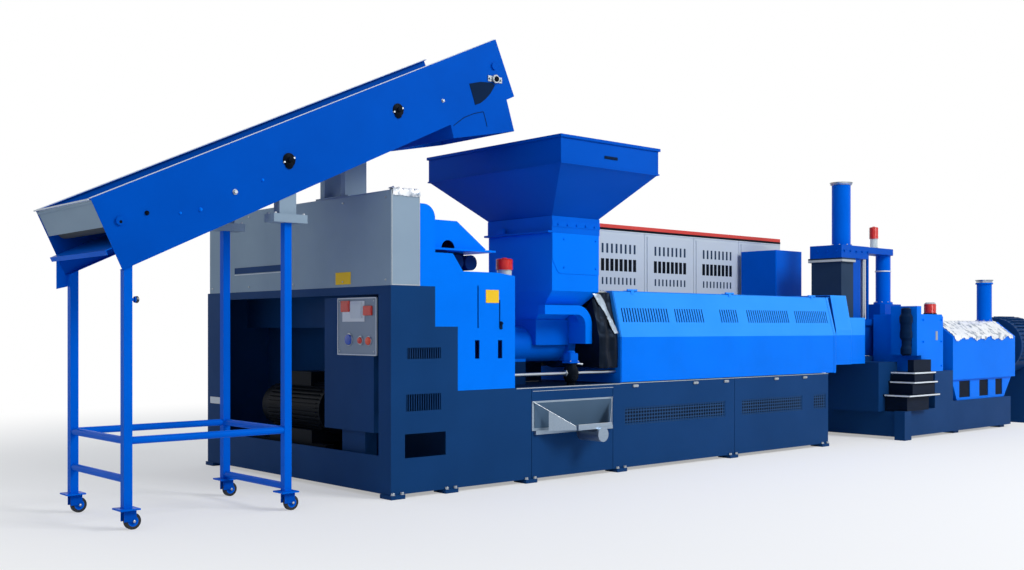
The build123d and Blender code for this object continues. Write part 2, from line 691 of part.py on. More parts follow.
def conveyor_saddle():
    x0, x1 = 30, 220
    pieces = [block(x0 - 15, x1 + 15, 560, 1000, HOOD_TOP, HOOD_TOP + 12)]
    for y in (620, 900):
        pieces.append(sloped_block(x0, x1, y, y + 60, HOOD_TOP))
    pads = []
    x = LEG_X[1]
    for y, sign in ((LEG_Y[0], 1), (LEG_Y[1], -1)):
        pad = block(x - 125, x + 125, y - 62, y + 62, PAD_Z, PAD_Z + PAD_T)
        pads.append(pad + sloped_block(x - 70, x + 55, y - 36, y + 36, PAD_Z + PAD_T))
    return Compound(children=[joined(pieces)] + pads)


def castor_fork(x, y):
    cx = x + CASTOR_TRAIL
    top = CASTOR_H - 10 - SWIVEL_GAP
    body = rod_z(x, y, top - 10, top, 34) + rod_z(x, y, top, CASTOR_H + 20, KINGPIN_R)
    for y0, y1 in ((y - 27, y - 22), (y + 22, y + 27)):
        cheek = block(x - 25, cx + 16, y0, y1, CASTOR_R, top - 4) + rod_y(cx, y0, y1, CASTOR_R, 16)
        body += cheek
    body += rod_y(cx, y - 30, y + 30, CASTOR_R, AXLE_R)
    body += block(x - 25, cx + 16, y - 27, y + 27, top - 8, top - 4)
    return body


def castor_wheel(x, y):
    cx = x + CASTOR_TRAIL
    ring = rod_y(cx, y - 16, y + 16, CASTOR_R, CASTOR_R)
    ring = fillet(ring.edges().filter_by(GeomType.CIRCLE), 4)
    return ring - rod_y(cx, y - 17, y + 17, CASTOR_R, AXLE_R + PIN_FIT)


# Control cabinets behind
CAB_X0 = 3840
CAB_W = 840
CAB_N = 4
CAB_Y = 1800
CAB_D = 600
CAB_H = 2300
CAB_PLINTH = 100
CAB_TRIM = 60
HYD_X = (6330, 6850)


def cabinet_row():
    x1 = CAB_X0 + CAB_N * CAB_W
    body = block(CAB_X0, x1, CAB_Y, CAB_Y + CAB_D, CAB_PLINTH, CAB_H - CAB_TRIM)
    body += block(CAB_X0 + 20, x1 - 20, CAB_Y + 20, CAB_Y + CAB_D - 20, 0, CAB_PLINTH)
    for i in range(1, CAB_N):
        x = CAB_X0 + i * CAB_W
        body -= block(x - 3, x + 3, CAB_Y, CAB_Y + 8, CAB_PLINTH, CAB_H - CAB_TRIM)
    return body


def cabinet_top():
    return block(CAB_X0, CAB_X0 + CAB_N * CAB_W, CAB_Y, CAB_Y + CAB_D, CAB_H - CAB_TRIM, CAB_H)


def cabinet_panels():
    panels = []
    for i in range(CAB_N):
        x0 = CAB_X0 + i * CAB_W + 40
        x1 = x0 + CAB_W - 80
        panels.append(block(x0, x1, CAB_Y - 10, CAB_Y, CAB_PLINTH + 40, CAB_H - CAB_TRIM - 40))
    return Compound(children=panels)


def hydraulic_cabinet():
    x0, x1 = HYD_X
    back = CAB_Y - 55
    body = block(x0, x1, S2_Y1, back, 80, HYD_TOP)
    body = fillet(body.edges().filter_by(Axis.Z), 12)
    return body + block(x0 + 30, x1 - 30, S2_Y1 + 30, back - 30, 0, 80)


# Second stage with the melt screen changer
def second_base():
    body = block(S2_X0, GEARBOX2[0], S2_Y0, S2_Y1, FOOT_H, S2_LEDGE)
    body += block(GEARBOX2[0], S2_X1, S2_Y0, S2_Y1, FOOT_H, S2_TOP)
    body += block(GEARBOX2[0] - 93, COVER2[0], S2_Y0, 600, S2_LEDGE, GEARBOX2[4])
    body += block(S2_X0 - 40, S2_X0 + 100, S2_Y0 - 60, S2_Y0 + 60, 0, S2_LEDGE + 10)
    body -= block(S2_X0 - 1, GEARBOX2[0] + 300, S2_Y0 - 1, S2_Y0 + 240, S2_LEDGE + 10, GEARBOX2[4] - 20)
    feet = []
    for x in (7800, 8950):
        for y in (S2_Y0 + 90, S2_Y1 - 90):
            feet.append(block(x - 60, x + 60, y - 60, y + 60, 0, FOOT_H))
    feet.append(block(S2_X0, S2_X0 + 120, S2_Y1 - 150, S2_Y1 - 30, 0, FOOT_H))
    return joined([body] + feet)


def second_gearbox():
    x0, x1, y0, y1, z0, z1 = GEARBOX2
    body = block(x0, x1, y0, y1, z0, z1)
    body = chamfer(body.edges().filter_by(Axis.Y).group_by(Axis.Z)[-1].sort_by(Axis.X)[-1], 30)
    return body + block(x0 - 93, x0, y0, 110, z0 + 180, z1 + 88)


def second_cover():
    x0, x1, y0, y1, z0, z1 = COVER2
    run, drop = COVER2_SHOULDER
    section = [(y0, z0), (y0, z1 - drop), (y0 + run, z1), (y1 - run, z1), (y1, z1 - drop), (y1, z0)]
    hood = prism_x(section, x0, x1)
    skirt = prism_y([(x0 + 30, z0), (x0 + 150, S2_TOP), (x1 - 240, S2_TOP), (x1 - 40, z0)], y0 + 30, y1 - 30)
    for w0, w1 in SKIRT_WINDOWS:
        skirt -= block(w0, w1, y0, y1, S2_TOP + 30, z0 - 20)
    return hood + skirt


def second_shaft():
    x0 = GEARBOX2[0] - 93
    shaft = rod_x(GEARBOX2[1], COVER2[0], S2_AXIS_Y, S2_AXIS_Z, 150)
    z0, z1 = GEARBOX2[4] + 180, GEARBOX2[5] + 70
    step = (z1 - z0) / 6
    profile = [(0, z0), (40, z0)]
    for i, r in enumerate((58, 46, 66, 60, 70, 52)):
        profile += [(r, z0 + (i + 0.25) * step), (r, z0 + (i + 0.85) * step)]
    profile += [(34, z1), (0, z1)]
    bellows = Pos(x0 - 70, S2_Y0 + 90, 0) * revolve(face_xz(profile), Axis.Z)
    bellows += block(x0 - 60, x0, S2_Y0 + 60, S2_Y0 + 120, z0 + step, z1 - step)
    return Compound(children=[shaft, bellows])


def second_motor():
    x0, x1, x2, z, r = MOTOR2
    body = rod_x(x0, x1, S2_AXIS_Y, z, r * 0.47) + rod_x(x1, x2, S2_AXIS_Y, z, r)
    foot = r * 0.76
    return body + block(x2 - 190, x2 - 20, S2_AXIS_Y - foot, S2_AXIS_Y + foot, 0, z - r * 0.65)


def changer_header():
    y0, y1 = CHANGER_Y
    x, y = RAM_AT
    body = block(CHANGER_X0 - 30, ROD_AT[0] - 110, y0 - 20, y1, CHANGER_TOP - HEADER_T, CHANGER_TOP)
    body += block(ROD_AT[0] - 110, x, y0, y1 - 160, CHANGER_TOP - HEADER_T / 2, CHANGER_TOP)
    inner = [e for e in body.edges().filter_by(Axis.Y) if abs(e.center().Z - CHANGER_TOP + HEADER_T / 2) < 1
             and abs(e.center().X - ROD_AT[0] + 110) < 1]
    body = fillet(inner, 50)
    return body + rod_z(x, y, CHANGER_TOP - HEADER_T / 2, CHANGER_TOP, 112)


def changer_body():
    y0, y1 = CHANGER_Y
    x0 = CHANGER_X0
    z = CHANGER_TOP - HEADER_T
    body = block(x0, x0 + 240, y0, y1, MELT_Z, z - 46)
    body += block(x0 - 26, x0 + 240, y0 - 26, y1 + 26, z - 46, z)
    body += block(x0 + 85, x0 + 470, 0, 650, S2_LEDGE, MELT_Z - 60)
    return body + block(x0, x0 + 470, y0 - 100, y1, MELT_Z - 60, MELT_Z)


def changer_frame():
    y0, y1 = CHANGER_Y
    x0 = CHANGER_X0 + 240
    z = CHANGER_TOP - HEADER_T
    column = block(x0, x0 + 148, y0, y1 - 100, MELT_Z, z)
    shelf = block(x0 + 148, BLOCK2[0], y0, y1 - 160, SHELF_Z - 70, SHELF_Z)
    shelf += block(x0 + 148, BLOCK2[0], y0 + 30, y1 - 180, MELT_Z, SHELF_Z - 70)
    post = rod_z(*POST_AT, SHELF_Z, CHANGER_TOP - HEADER_T / 2, 17)
    x0, x1, y0, y1, z0, z1 = BLOCK2
    melt = block(x0, x1, y0, y1, z0, z1)
    melt = chamfer(melt.edges().filter_by(Axis.Z).group_by(Axis.X)[0].sort_by(Axis.Y)[0], 40)
    leg = block(x0 + 40, COVER2[0], y0 + 20, y1 - 20, GEARBOX2[4], z0)
    return joined([column, shelf, post, melt, leg])


def changer_rod():
    return rod_z(*ROD_AT, SHELF_Z, CHANGER_TOP - HEADER_T / 2, 28)


def changer_ram():
    x, y = RAM_AT
    z0, z1 = BLOCK2[5], CHANGER_TOP - HEADER_T / 2
    return rod_z(x, y, z0, z1, 84) + rod_z(x, y, z0, z0 + 24, 108) + rod_z(x, y, z1 - 190, z1 - 176, 90)


def vent_pipes():
    pipes = []
    for x, y, z0, z1, r in VENTS:
        pipe = rod_z(x, y, z0, z1, r) + rod_z(x, y, z1 - 20, z1, r + 14) + rod_z(x, y, z0, z0 + 16, r + 14)
        pipes.append(pipe)
    return Compound(children=pipes)


def die_stack():
    x0, y0 = S2_X0, S2_Y0
    z = S2_LEDGE + 10
    layers = []
    for lx0, lx1, ly0, ly1, height in STACK:
        layers.append(block(x0 + lx0, x0 + lx1, y0 + ly0, y0 + ly1, z, z + height))
        z += height
    return joined(layers)


NODES = {
    "base_frame": base_frame,
    "base_feet": base_feet,
    "base_grilles": base_grilles,
    "drive_housing": drive_housing,
    "drive_motor": drive_motor,
    "drive_hood": drive_hood,
    "control_box": control_box,
    "control_panel": control_panel,
    "belt_guard": belt_guard,
    "gearbox_cover": gearbox_cover,
    "gearbox_shroud": gearbox_shroud,
    "warning_beacons": warning_beacons,
    "feed_housing": feed_housing,
    "feed_saddle": feed_saddle,
    "hopper": hopper,
    "hopper_collar": hopper_collar,
    "hopper_throat": hopper_throat,
    "insulation_jacket": insulation_jacket,
    "barrel": barrel,
    "heater_bands": heater_bands,
    "barrel_supports": barrel_supports,
    "guard_rear": guard_rear,
    "guard_flap": guard_flap,
    "guard_end_cap": guard_end_cap,
    "cooling_valve": cooling_valve,
    "water_pipe": water_pipe,
    "discharge_tray": discharge_tray,
    "conveyor_sides": conveyor_sides,
    "conveyor_belt": conveyor_belt,
    "conveyor_pulleys": conveyor_pulleys,
    "conveyor_pan": conveyor_pan,
    "tail_plate": tail_plate,
    "head_chute": head_chute,
    "conveyor_legs": conveyor_legs,
    "conveyor_saddle": conveyor_saddle,
    "cabinet_row": cabinet_row,
    "cabinet_top": cabinet_top,
    "cabinet_panels": cabinet_panels,
    "hydraulic_cabinet": hydraulic_cabinet,
    "second_base": second_base,
    "second_gearbox": second_gearbox,
    "second_cover": second_cover,
    "second_shaft": second_shaft,
    "second_motor": second_motor,
    "changer_header": changer_header,
    "changer_body": changer_body,
    "changer_frame": changer_frame,
    "changer_rod": changer_rod,
    "changer_ram": changer_ram,
    "vent_pipes": vent_pipes,
    "die_stack": die_stack,
}

for name, make in NODES.items():
    export_step(make(), "parts/" + name + ".step")

castor = 0
for leg_x in LEG_X:
    for leg_y in LEG_Y:
        castor += 1
        export_step(castor_fork(leg_x, leg_y), "parts/castor_fork_" + str(castor) + ".step")
        export_step(castor_wheel(leg_x, leg_y), "parts/castor_wheel_" + str(castor) + ".step")
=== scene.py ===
import math
import random

import bmesh
import bpy
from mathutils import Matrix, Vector


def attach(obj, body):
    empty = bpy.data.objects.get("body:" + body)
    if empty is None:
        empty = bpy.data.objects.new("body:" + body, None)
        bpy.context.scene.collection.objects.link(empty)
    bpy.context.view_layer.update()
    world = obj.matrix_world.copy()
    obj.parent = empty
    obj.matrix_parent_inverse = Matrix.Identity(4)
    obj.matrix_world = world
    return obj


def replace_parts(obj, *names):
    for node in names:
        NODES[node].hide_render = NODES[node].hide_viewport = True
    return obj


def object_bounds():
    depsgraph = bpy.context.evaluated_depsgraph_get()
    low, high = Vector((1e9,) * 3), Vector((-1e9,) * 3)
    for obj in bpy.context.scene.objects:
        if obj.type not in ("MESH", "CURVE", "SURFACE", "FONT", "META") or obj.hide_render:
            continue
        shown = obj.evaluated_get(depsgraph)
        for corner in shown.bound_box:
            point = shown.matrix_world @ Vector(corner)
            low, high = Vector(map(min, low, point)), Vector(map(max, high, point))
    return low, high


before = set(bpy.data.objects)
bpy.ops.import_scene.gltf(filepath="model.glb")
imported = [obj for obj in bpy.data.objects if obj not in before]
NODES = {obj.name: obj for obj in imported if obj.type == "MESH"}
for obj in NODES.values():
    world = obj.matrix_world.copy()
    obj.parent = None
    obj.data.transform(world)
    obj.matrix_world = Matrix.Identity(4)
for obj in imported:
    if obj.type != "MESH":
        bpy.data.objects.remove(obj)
cad_low, cad_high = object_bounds()
MM = 0.001
random.seed(7)


# Colours are written as sRGB hex and turned linear here
def linear(code):
    parts = [int(code[i:i + 2], 16) / 255 for i in (1, 3, 5)]
    parts = [c / 12.92 if c <= 0.04045 else ((c + 0.055) / 1.055) ** 2.4 for c in parts]
    return (*parts, 1.0)


def add(tree, kind, settings=None, links=None):
    node = tree.nodes.new(kind)
    for name, value in (settings or {}).items():
        if name in node.inputs:
            node.inputs[name].default_value = value
        else:
            setattr(node, name, value)
    for name, source in (links or {}).items():
        tree.links.new(source, node.inputs[name])
    return node


def new_finish(name):
    finish = bpy.data.materials.new(name)
    finish.use_nodes = True
    tree = finish.node_tree
    shader = tree.nodes["Principled BSDF"]
    place = add(tree, "ShaderNodeTexCoord")
    return finish, tree, shader, place.outputs["Object"]


def per_metre(size_mm):
    return 1000 / size_mm


def sprayed_enamel(name, colour, shade, worn, gloss, sheen="#FFFFFF", below=None):
    """Two-pack enamel sprayed on sheet steel: a fine orange peel softens the highlights, the film's tone
    drifts over half a metre, fine specks of dust lie all over, and the deep blues tint what they mirror.
    Some pieces have a second colour below a height in mm; on the base, the feed housing and the guard this
    split is painted shade and painted sheen."""
    finish, tree, shader, at = new_finish(name)
    drift = add(tree, "ShaderNodeTexNoise", {"Scale": per_metre(520), "Detail": 3.0}, {"Vector": at})
    spread = add(tree, "ShaderNodeMapRange", {"From Min": 0.35, "From Max": 0.7, "To Max": 0.55},
                 {"Value": drift.outputs["Fac"]})
    tone = add(tree, "ShaderNodeMix", {"data_type": "RGBA", "A": linear(colour), "B": linear(shade)},
               {"Factor": spread.outputs["Result"]})
    # Second colour by height: painted shade or painted sheen on some finishes, as said where they are made
    if below:
        level, lower = below
        spot = add(tree, "ShaderNodeSeparateXYZ", None, {"Vector": at})
        upper = add(tree, "ShaderNodeMapRange", {"From Min": (level - 1) * MM, "From Max": level * MM},
                    {"Value": spot.outputs["Z"]})
        drifted = [part * 0.8 for part in linear(lower)[:3]] + [1.0]
        under = add(tree, "ShaderNodeMix", {"data_type": "RGBA", "A": linear(lower), "B": drifted},
                    {"Factor": spread.outputs["Result"]})
        tone = add(tree, "ShaderNodeMix", {"data_type": "RGBA"},
                   {"Factor": upper.outputs["Result"], "A": under.outputs["Result"],
                    "B": tone.outputs["Result"]})
    specks = add(tree, "ShaderNodeTexNoise", {"Scale": per_metre(9), "Detail": 4.0, "Roughness": 0.7},
                 {"Vector": at})
    dust = add(tree, "ShaderNodeMapRange", {"From Min": 0.68, "From Max": 0.85, "To Max": 0.3},
               {"Value": specks.outputs["Fac"]})
    coat = add(tree, "ShaderNodeMix", {"data_type": "RGBA", "B": linear(worn)},
               {"Factor": dust.outputs["Result"], "A": tone.outputs["Result"]})
    tree.links.new(coat.outputs["Result"], shader.inputs["Base Color"])
    handled = add(tree, "ShaderNodeMapRange", {"To Min": gloss - 0.05, "To Max": gloss + 0.12},
                  {"Value": drift.outputs["Fac"]})
    tree.links.new(handled.outputs["Result"], shader.inputs["Roughness"])
    peel = add(tree, "ShaderNodeTexNoise", {"Scale": per_metre(3.5), "Detail": 2.0}, {"Vector": at})
    relief = add(tree, "ShaderNodeBump", {"Strength": 0.06, "Distance": 0.4 * MM},
                 {"Height": peel.outputs["Fac"]})
    tree.links.new(relief.outputs["Normal"], shader.inputs["Normal"])
    shader.inputs["IOR"].default_value = 1.15
    shader.inputs["Specular Tint"].default_value = linear(sheen)
    return finish


def powder_coat(name, colour, shade):
    """Baked powder on cabinet steel: a matt, leathery grain about 2 mm across that breaks up reflections."""
    finish, tree, shader, at = new_finish(name)
    grain = add(tree, "ShaderNodeTexVoronoi", {"Scale": per_metre(2.2)}, {"Vector": at})
    drift = add(tree, "ShaderNodeTexNoise", {"Scale": per_metre(700), "Detail": 2.0}, {"Vector": at})
    tone = add(tree, "ShaderNodeMix", {"data_type": "RGBA", "A": linear(colour), "B": linear(shade)},
               {"Factor": drift.outputs["Fac"]})
    tree.links.new(tone.outputs["Result"], shader.inputs["Base Color"])
    relief = add(tree, "ShaderNodeBump", {"Strength": 0.15, "Distance": 0.3 * MM},
                 {"Height": grain.outputs["Distance"]})
    tree.links.new(relief.outputs["Normal"], shader.inputs["Normal"])
    shader.inputs["Roughness"].default_value = 0.55
    shader.inputs["Specular IOR Level"].default_value = 0.3
    return finish


def drawn_steel(name, colour, streak, stretch, rough=0.3):
    """Bare steel with the marks of its making: long fine streaks along the piece give soft bands of light."""
    finish, tree, shader, at = new_finish(name)
    along = add(tree, "ShaderNodeMapping", {"Scale": stretch}, {"Vector": at})
    marks = add(tree, "ShaderNodeTexNoise", {"Scale": per_metre(6), "Detail": 6.0, "Roughness": 0.65},
                {"Vector": along.outputs["Vector"]})
    tone = add(tree, "ShaderNodeMix", {"data_type": "RGBA", "A": linear(colour), "B": linear(streak)},
               {"Factor": marks.outputs["Fac"]})
    tree.links.new(tone.outputs["Result"], shader.inputs["Base Color"])
    sheen = add(tree, "ShaderNodeMapRange", {"To Min": rough - 0.1, "To Max": rough + 0.15},
                {"Value": marks.outputs["Fac"]})
    tree.links.new(sheen.outputs["Result"], shader.inputs["Roughness"])
    relief = add(tree, "ShaderNodeBump", {"Strength": 0.12, "Distance": 0.15 * MM},
                 {"Height": marks.outputs["Fac"]})
    tree.links.new(relief.outputs["Normal"], shader.inputs["Normal"])
    shader.inputs["Metallic"].default_value = 1.0
    return finish


def moulded_rubber(name, colour, shade, grain_mm):
    """Pressed rubber: a soft grey bloom over a fine moulding grain, so that edges catch a dull light."""
    finish, tree, shader, at = new_finish(name)
    bloom = add(tree, "ShaderNodeTexNoise", {"Scale": per_metre(60), "Detail": 4.0}, {"Vector": at})
    tone = add(tree, "ShaderNodeMix", {"data_type": "RGBA", "A": linear(colour), "B": linear(shade)},
               {"Factor": bloom.outputs["Fac"]})
    tree.links.new(tone.outputs["Result"], shader.inputs["Base Color"])
    grain = add(tree, "ShaderNodeTexVoronoi", {"Scale": per_metre(grain_mm)}, {"Vector": at})
    relief = add(tree, "ShaderNodeBump", {"Strength": 0.3, "Distance": 0.2 * MM},
                 {"Height": grain.outputs["Distance"]})
    tree.links.new(relief.outputs["Normal"], shader.inputs["Normal"])
    shader.inputs["Roughness"].default_value = 0.75
    return finish


def coated_cloth(name, colour, shade):
    """Glass cloth dipped in black coating: its plain weave still shows through the film, and its folds
    shine softly."""
    finish, tree, shader, at = new_finish(name)
    # Threads of 1.5 mm would be finer than a pixel, so the weave is drawn about six times coarser
    threads = []
    for turn in ((0, 0, 0), (0, math.pi / 2, 0)):
        along = add(tree, "ShaderNodeMapping", {"Rotation": turn}, {"Vector": at})
        thread = add(tree, "ShaderNodeTexWave", {"Scale": per_metre(1.5) / 20, "Distortion": 0.4},
                     {"Vector": along.outputs["Vector"]})
        threads.append(thread.outputs["Fac"])
    weave = add(tree, "ShaderNodeMath", {"operation": "MAXIMUM"}, {0: threads[0], 1: threads[1]})
    wear = add(tree, "ShaderNodeTexNoise", {"Scale": per_metre(45), "Detail": 5.0}, {"Vector": at})
    tone = add(tree, "ShaderNodeMix", {"data_type": "RGBA", "A": linear(colour), "B": linear(shade)},
               {"Factor": wear.outputs["Fac"]})
    tree.links.new(tone.outputs["Result"], shader.inputs["Base Color"])
    relief = add(tree, "ShaderNodeBump", {"Strength": 0.35, "Distance": 0.3 * MM},
                 {"Height": weave.outputs["Value"]})
    tree.links.new(relief.outputs["Normal"], shader.inputs["Normal"])
    shader.inputs["Roughness"].default_value = 0.36
    shader.inputs["IOR"].default_value = 1.25
    shader.inputs["Specular Tint"].default_value = linear("#7FA4D4")
    return finish


def crumpled_foil(name, colour, crease):
    """Aluminium foil pressed on by hand: flat facets about a hand wide meet in sharp creases, and
    each throws the light its own way. Blotches of the darker crease colour, laid by noise, are painted shade
    of the creases."""
    finish, tree, shader, at = new_finish(name)
    facets = add(tree, "ShaderNodeTexVoronoi", {"Scale": per_metre(90), "Randomness": 1.0}, {"Vector": at})
    fine = add(tree, "ShaderNodeTexNoise", {"Scale": per_metre(75), "Detail": 4.0}, {"Vector": at})
    # Blotches of the crease colour: painted shade of crumpled creases
    folded = add(tree, "ShaderNodeMapRange", {"From Min": 0.5, "From Max": 0.68},
                 {"Value": fine.outputs["Fac"]})
    tone = add(tree, "ShaderNodeMix", {"data_type": "RGBA", "A": linear(colour), "B": linear(crease)},
               {"Factor": folded.outputs["Result"]})
    tree.links.new(tone.outputs["Result"], shader.inputs["Base Color"])
    height = add(tree, "ShaderNodeMath", {"operation": "ADD"},
                 {0: facets.outputs["Distance"], 1: fine.outputs["Fac"]})
    relief = add(tree, "ShaderNodeBump", {"Strength": 0.8, "Distance": 6 * MM},
                 {"Height": height.outputs["Value"]})
    tree.links.new(relief.outputs["Normal"], shader.inputs["Normal"])
    shader.inputs["Metallic"].default_value = 0.45
    shader.inputs["Roughness"].default_value = 0.34
    return finish


def moulded_plastic(name, colour, shade, clear=0.0):
    """Injection-moulded plastic with the faint flow marks of the mould; the lenses let some light through."""
    finish, tree, shader, at = new_finish(name)
    flow = add(tree, "ShaderNodeTexNoise", {"Scale": per_metre(25), "Detail": 2.0}, {"Vector": at})
    tone = add(tree, "ShaderNodeMix", {"data_type": "RGBA", "A": linear(colour), "B": linear(shade)},
               {"Factor": flow.outputs["Fac"]})
    tree.links.new(tone.outputs["Result"], shader.inputs["Base Color"])
    shader.inputs["Roughness"].default_value = 0.25
    shader.inputs["Transmission Weight"].default_value = clear
    return finish


def heat_tinted_steel(name, colour, tint):
    """Steel that lives beside the heaters: straw and brown heat tint drifts over a dull rolled skin."""
    finish, tree, shader, at = new_finish(name)
    heat = add(tree, "ShaderNodeTexNoise", {"Scale": per_metre(160), "Detail": 4.0}, {"Vector": at})
    tone = add(tree, "ShaderNodeMix", {"data_type": "RGBA", "A": linear(colour), "B": linear(tint)},
               {"Factor": heat.outputs["Fac"]})
    tree.links.new(tone.outputs["Result"], shader.inputs["Base Color"])
    scale = add(tree, "ShaderNodeTexNoise", {"Scale": per_metre(4), "Detail": 4.0}, {"Vector": at})
    relief = add(tree, "ShaderNodeBump", {"Strength": 0.2, "Distance": 0.2 * MM},
                 {"Height": scale.outputs["Fac"]})
    tree.links.new(relief.outputs["Normal"], shader.inputs["Normal"])
    shader.inputs["Metallic"].default_value = 0.9
    shader.inputs["Roughness"].default_value = 0.45
    return finish


# Enamels shared by more than one finish: colour, shade, worn edge, gloss and the tint of what they mirror
BRIGHT = ("#0076F2", "#006DE4", "#2A86E8", 0.34, "#4C94FF")
MID = ("#0062D8", "#0058C6", "#2676D6", 0.34, "#4084F4")
DULL = ("#2B3F57", "#22344A", "#4C5F76", 0.42, "#8FA8C4")
NAVY_SHEEN = "#5A8CCC"

BRIGHT_BLUE = sprayed_enamel("bright_blue_enamel", *BRIGHT)
MID_BLUE = sprayed_enamel("mid_blue_enamel", *MID)
DEEP_BLUE = sprayed_enamel("deep_blue_enamel", "#0050BA", "#0046A8", "#2668BE", 0.34, "#4084F4")
NAVY = sprayed_enamel("navy_enamel", "#153D6E", "#11345F", "#2D5079", 0.4, NAVY_SHEEN)
GRILLE_BLUE = sprayed_enamel("grille_enamel", "#27476F", "#203E64", "#46658C", 0.4, NAVY_SHEEN)
DARK_NAVY = sprayed_enamel("dark_navy_enamel", "#0C2240", "#091B34", "#233C58", 0.4, NAVY_SHEEN)
# Guard: its own blue is the colour below the knee at 1125 mm; the paler blue above it is a painted sheen on
# the leaning face
GUARD_BLUE_PAINTED_SHEEN = sprayed_enamel("guard_enamel_painted_sheen", "#2E93FA", "#2389F2", "#5AA8F4", 0.3, "#8CBCFF",
                            (1125, "#0074F0"))
# Feed housing: mid blue; the dark navy below 925 mm is painted shadow under the barrel, next to the deck
HOUSING_BLUE_PAINTED_SHADE = sprayed_enamel("feed_housing_painted_shade", *MID, (925, "#0A2850"))
# Base: navy below 739 mm; the near-black above it is painted shadow over the top deck under the barrel and
# guard
BASE_NAVY_PAINTED_SHADE = sprayed_enamel("base_enamel_painted_shade", "#0B1D38", "#09182E", "#1C304C", 0.4, NAVY_SHEEN, (739, "#153D6E"))
SHROUD_BLUE = sprayed_enamel("shroud_enamel", *BRIGHT, (1770, "#0B2A5C"))
SLATE = sprayed_enamel("slate_enamel", *DULL)
SLATE_OVER_NAVY = sprayed_enamel("changer_enamel", *DULL, (890, "#123A6C"))
HOOD_GREY = sprayed_enamel("hood_grey_enamel", "#8DA1B2", "#8094A7", "#AEBBC5", 0.42)
# Grey-blue for the back wall inside the tray: painted shade
TRAY_PAINTED_SHADE = sprayed_enamel("tray_painted_shade_enamel", "#4A6178", "#42586E", "#74899D", 0.42)
CABINET_GREY = powder_coat("cabinet_powder_coat", "#C9D2DA", "#C0CAD3")
PANEL_WHITE = powder_coat("panel_powder_coat", "#D9DFE4", "#D0D7DE")
PANEL_GREY = powder_coat("instrument_panel_coat", "#8896A5", "#7E8C9C")
SIGNAL_RED = powder_coat("red_powder_coat", "#E0483F", "#D23F36")
PLATE_YELLOW = powder_coat("yellow_plate_coat", "#F0C419", "#E6B911")
STACK_BLACK = sprayed_enamel("stack_enamel", "#101B2D", "#0B1422", "#2C3B52", 0.38, NAVY_SHEEN)
BLACK_ENAMEL = sprayed_enamel("black_enamel", "#0E131B", "#090D13", "#283040", 0.35, "#7088A8")
TURNED_STEEL = drawn_steel("turned_steel", "#B9C1C8", "#8D959C", (0.05, 1.0, 1.0))
FOLDED_STAINLESS = drawn_steel("folded_stainless", "#A9B6C2", "#8496A8", (0.08, 1.0, 1.0), 0.36)
ZINC_PLATE = drawn_steel("zinc_plated_steel", "#C6CCD1", "#9AA2A9", (1.0, 1.0, 0.3), 0.32)
BAND_STEEL = heat_tinted_steel("heater_band_steel", "#8E8A80", "#6B5E4C")
TYRE_RUBBER = moulded_rubber("tyre_rubber", "#17181A", "#222427", 1.2)
BELT_RUBBER = moulded_rubber("belt_rubber", "#3C4142", "#4A4F50", 2.5)
JACKET_CLOTH = coated_cloth("jacket_cloth", "#070B12", "#111926")
FOIL = crumpled_foil("insulation_foil", "#F2F5F8", "#72859B")
# Foil in a darker tone, for the jacket's strip
DIM_FOIL = crumpled_foil("dim_foil", "#9AA9B8", "#46566A")
LENS_RED = moulded_plastic("lens_red_plastic", "#E3261C", "#D41E15", 0.15)
LENS_CLEAR = moulded_plastic("lens_clear_plastic", "#DDE8EE", "#C9D8E0", 0.5)
METER_RED = moulded_plastic("meter_red_plastic", "#D23A35", "#BF2F2B")
BUTTON_BLUE = moulded_plastic("button_blue_plastic", "#2A55B8", "#234AA6")
BUTTON_ORANGE = moulded_plastic("button_orange_plastic", "#E8502E", "#D94524")
KNOB_BLACK = moulded_plastic("knob_black_plastic", "#1A1C1F", "#232629")

# Nodes by their finish. Castors go by their name without its number, and all others are bright blue.
NODE_FINISHES = (
    (BASE_NAVY_PAINTED_SHADE, ("base_frame",)),
    (NAVY, ("base_feet", "drive_housing", "control_box", "barrel_supports", "second_base", "second_motor")),
    (BLACK_ENAMEL, ("drive_motor", "cooling_valve")),
    (HOOD_GREY, ("drive_hood", "conveyor_saddle", "tail_plate")),
    (PANEL_GREY, ("control_panel",)),
    (CABINET_GREY, ("cabinet_row", "cabinet_panels")),
    (SIGNAL_RED, ("cabinet_top",)),
    (TURNED_STEEL, ("barrel", "water_pipe", "conveyor_pulleys", "changer_rod")),
    (BAND_STEEL, ("heater_bands",)),
    (FOLDED_STAINLESS, ("discharge_tray",)),
    (BELT_RUBBER, ("conveyor_belt",)),
    (TYRE_RUBBER, ("castor_wheel",)),
    (DEEP_BLUE, ("hopper", "conveyor_sides", "head_chute", "changer_header", "changer_frame", "castor_fork")),
    (MID_BLUE, ("hopper_collar", "conveyor_pan", "conveyor_legs", "changer_ram", "vent_pipes",
                "hydraulic_cabinet")),
    (HOUSING_BLUE_PAINTED_SHADE, ("feed_housing",)),
    (DARK_NAVY, ("second_shaft",)),
    (SLATE_OVER_NAVY, ("changer_body",)),
    (SHROUD_BLUE, ("gearbox_shroud",)),
    (GUARD_BLUE_PAINTED_SHEEN, ("guard_flap", "guard_rear", "guard_end_cap")),
    (STACK_BLACK, ("die_stack",)),
)
FINISH_OF = {name: finish for finish, names in NODE_FINISHES for name in names}
for name, node in NODES.items():
    node.data.materials.clear()
    node.data.materials.append(FINISH_OF.get(name.rstrip("_1234"), BRIGHT_BLUE))


# Shapes gather in one mesh, so that like pieces are one object. Places are in metres, small sizes in mm.
FRONT, END, ALONG, UP = (0, -1, 0), (-1, 0, 0), (1, 0, 0), (0, 0, 1)
SHARP = math.radians(32)
HEX_CORNER = 0.577
HOLE_CORNER = 0.7071
TRIM = 0.003


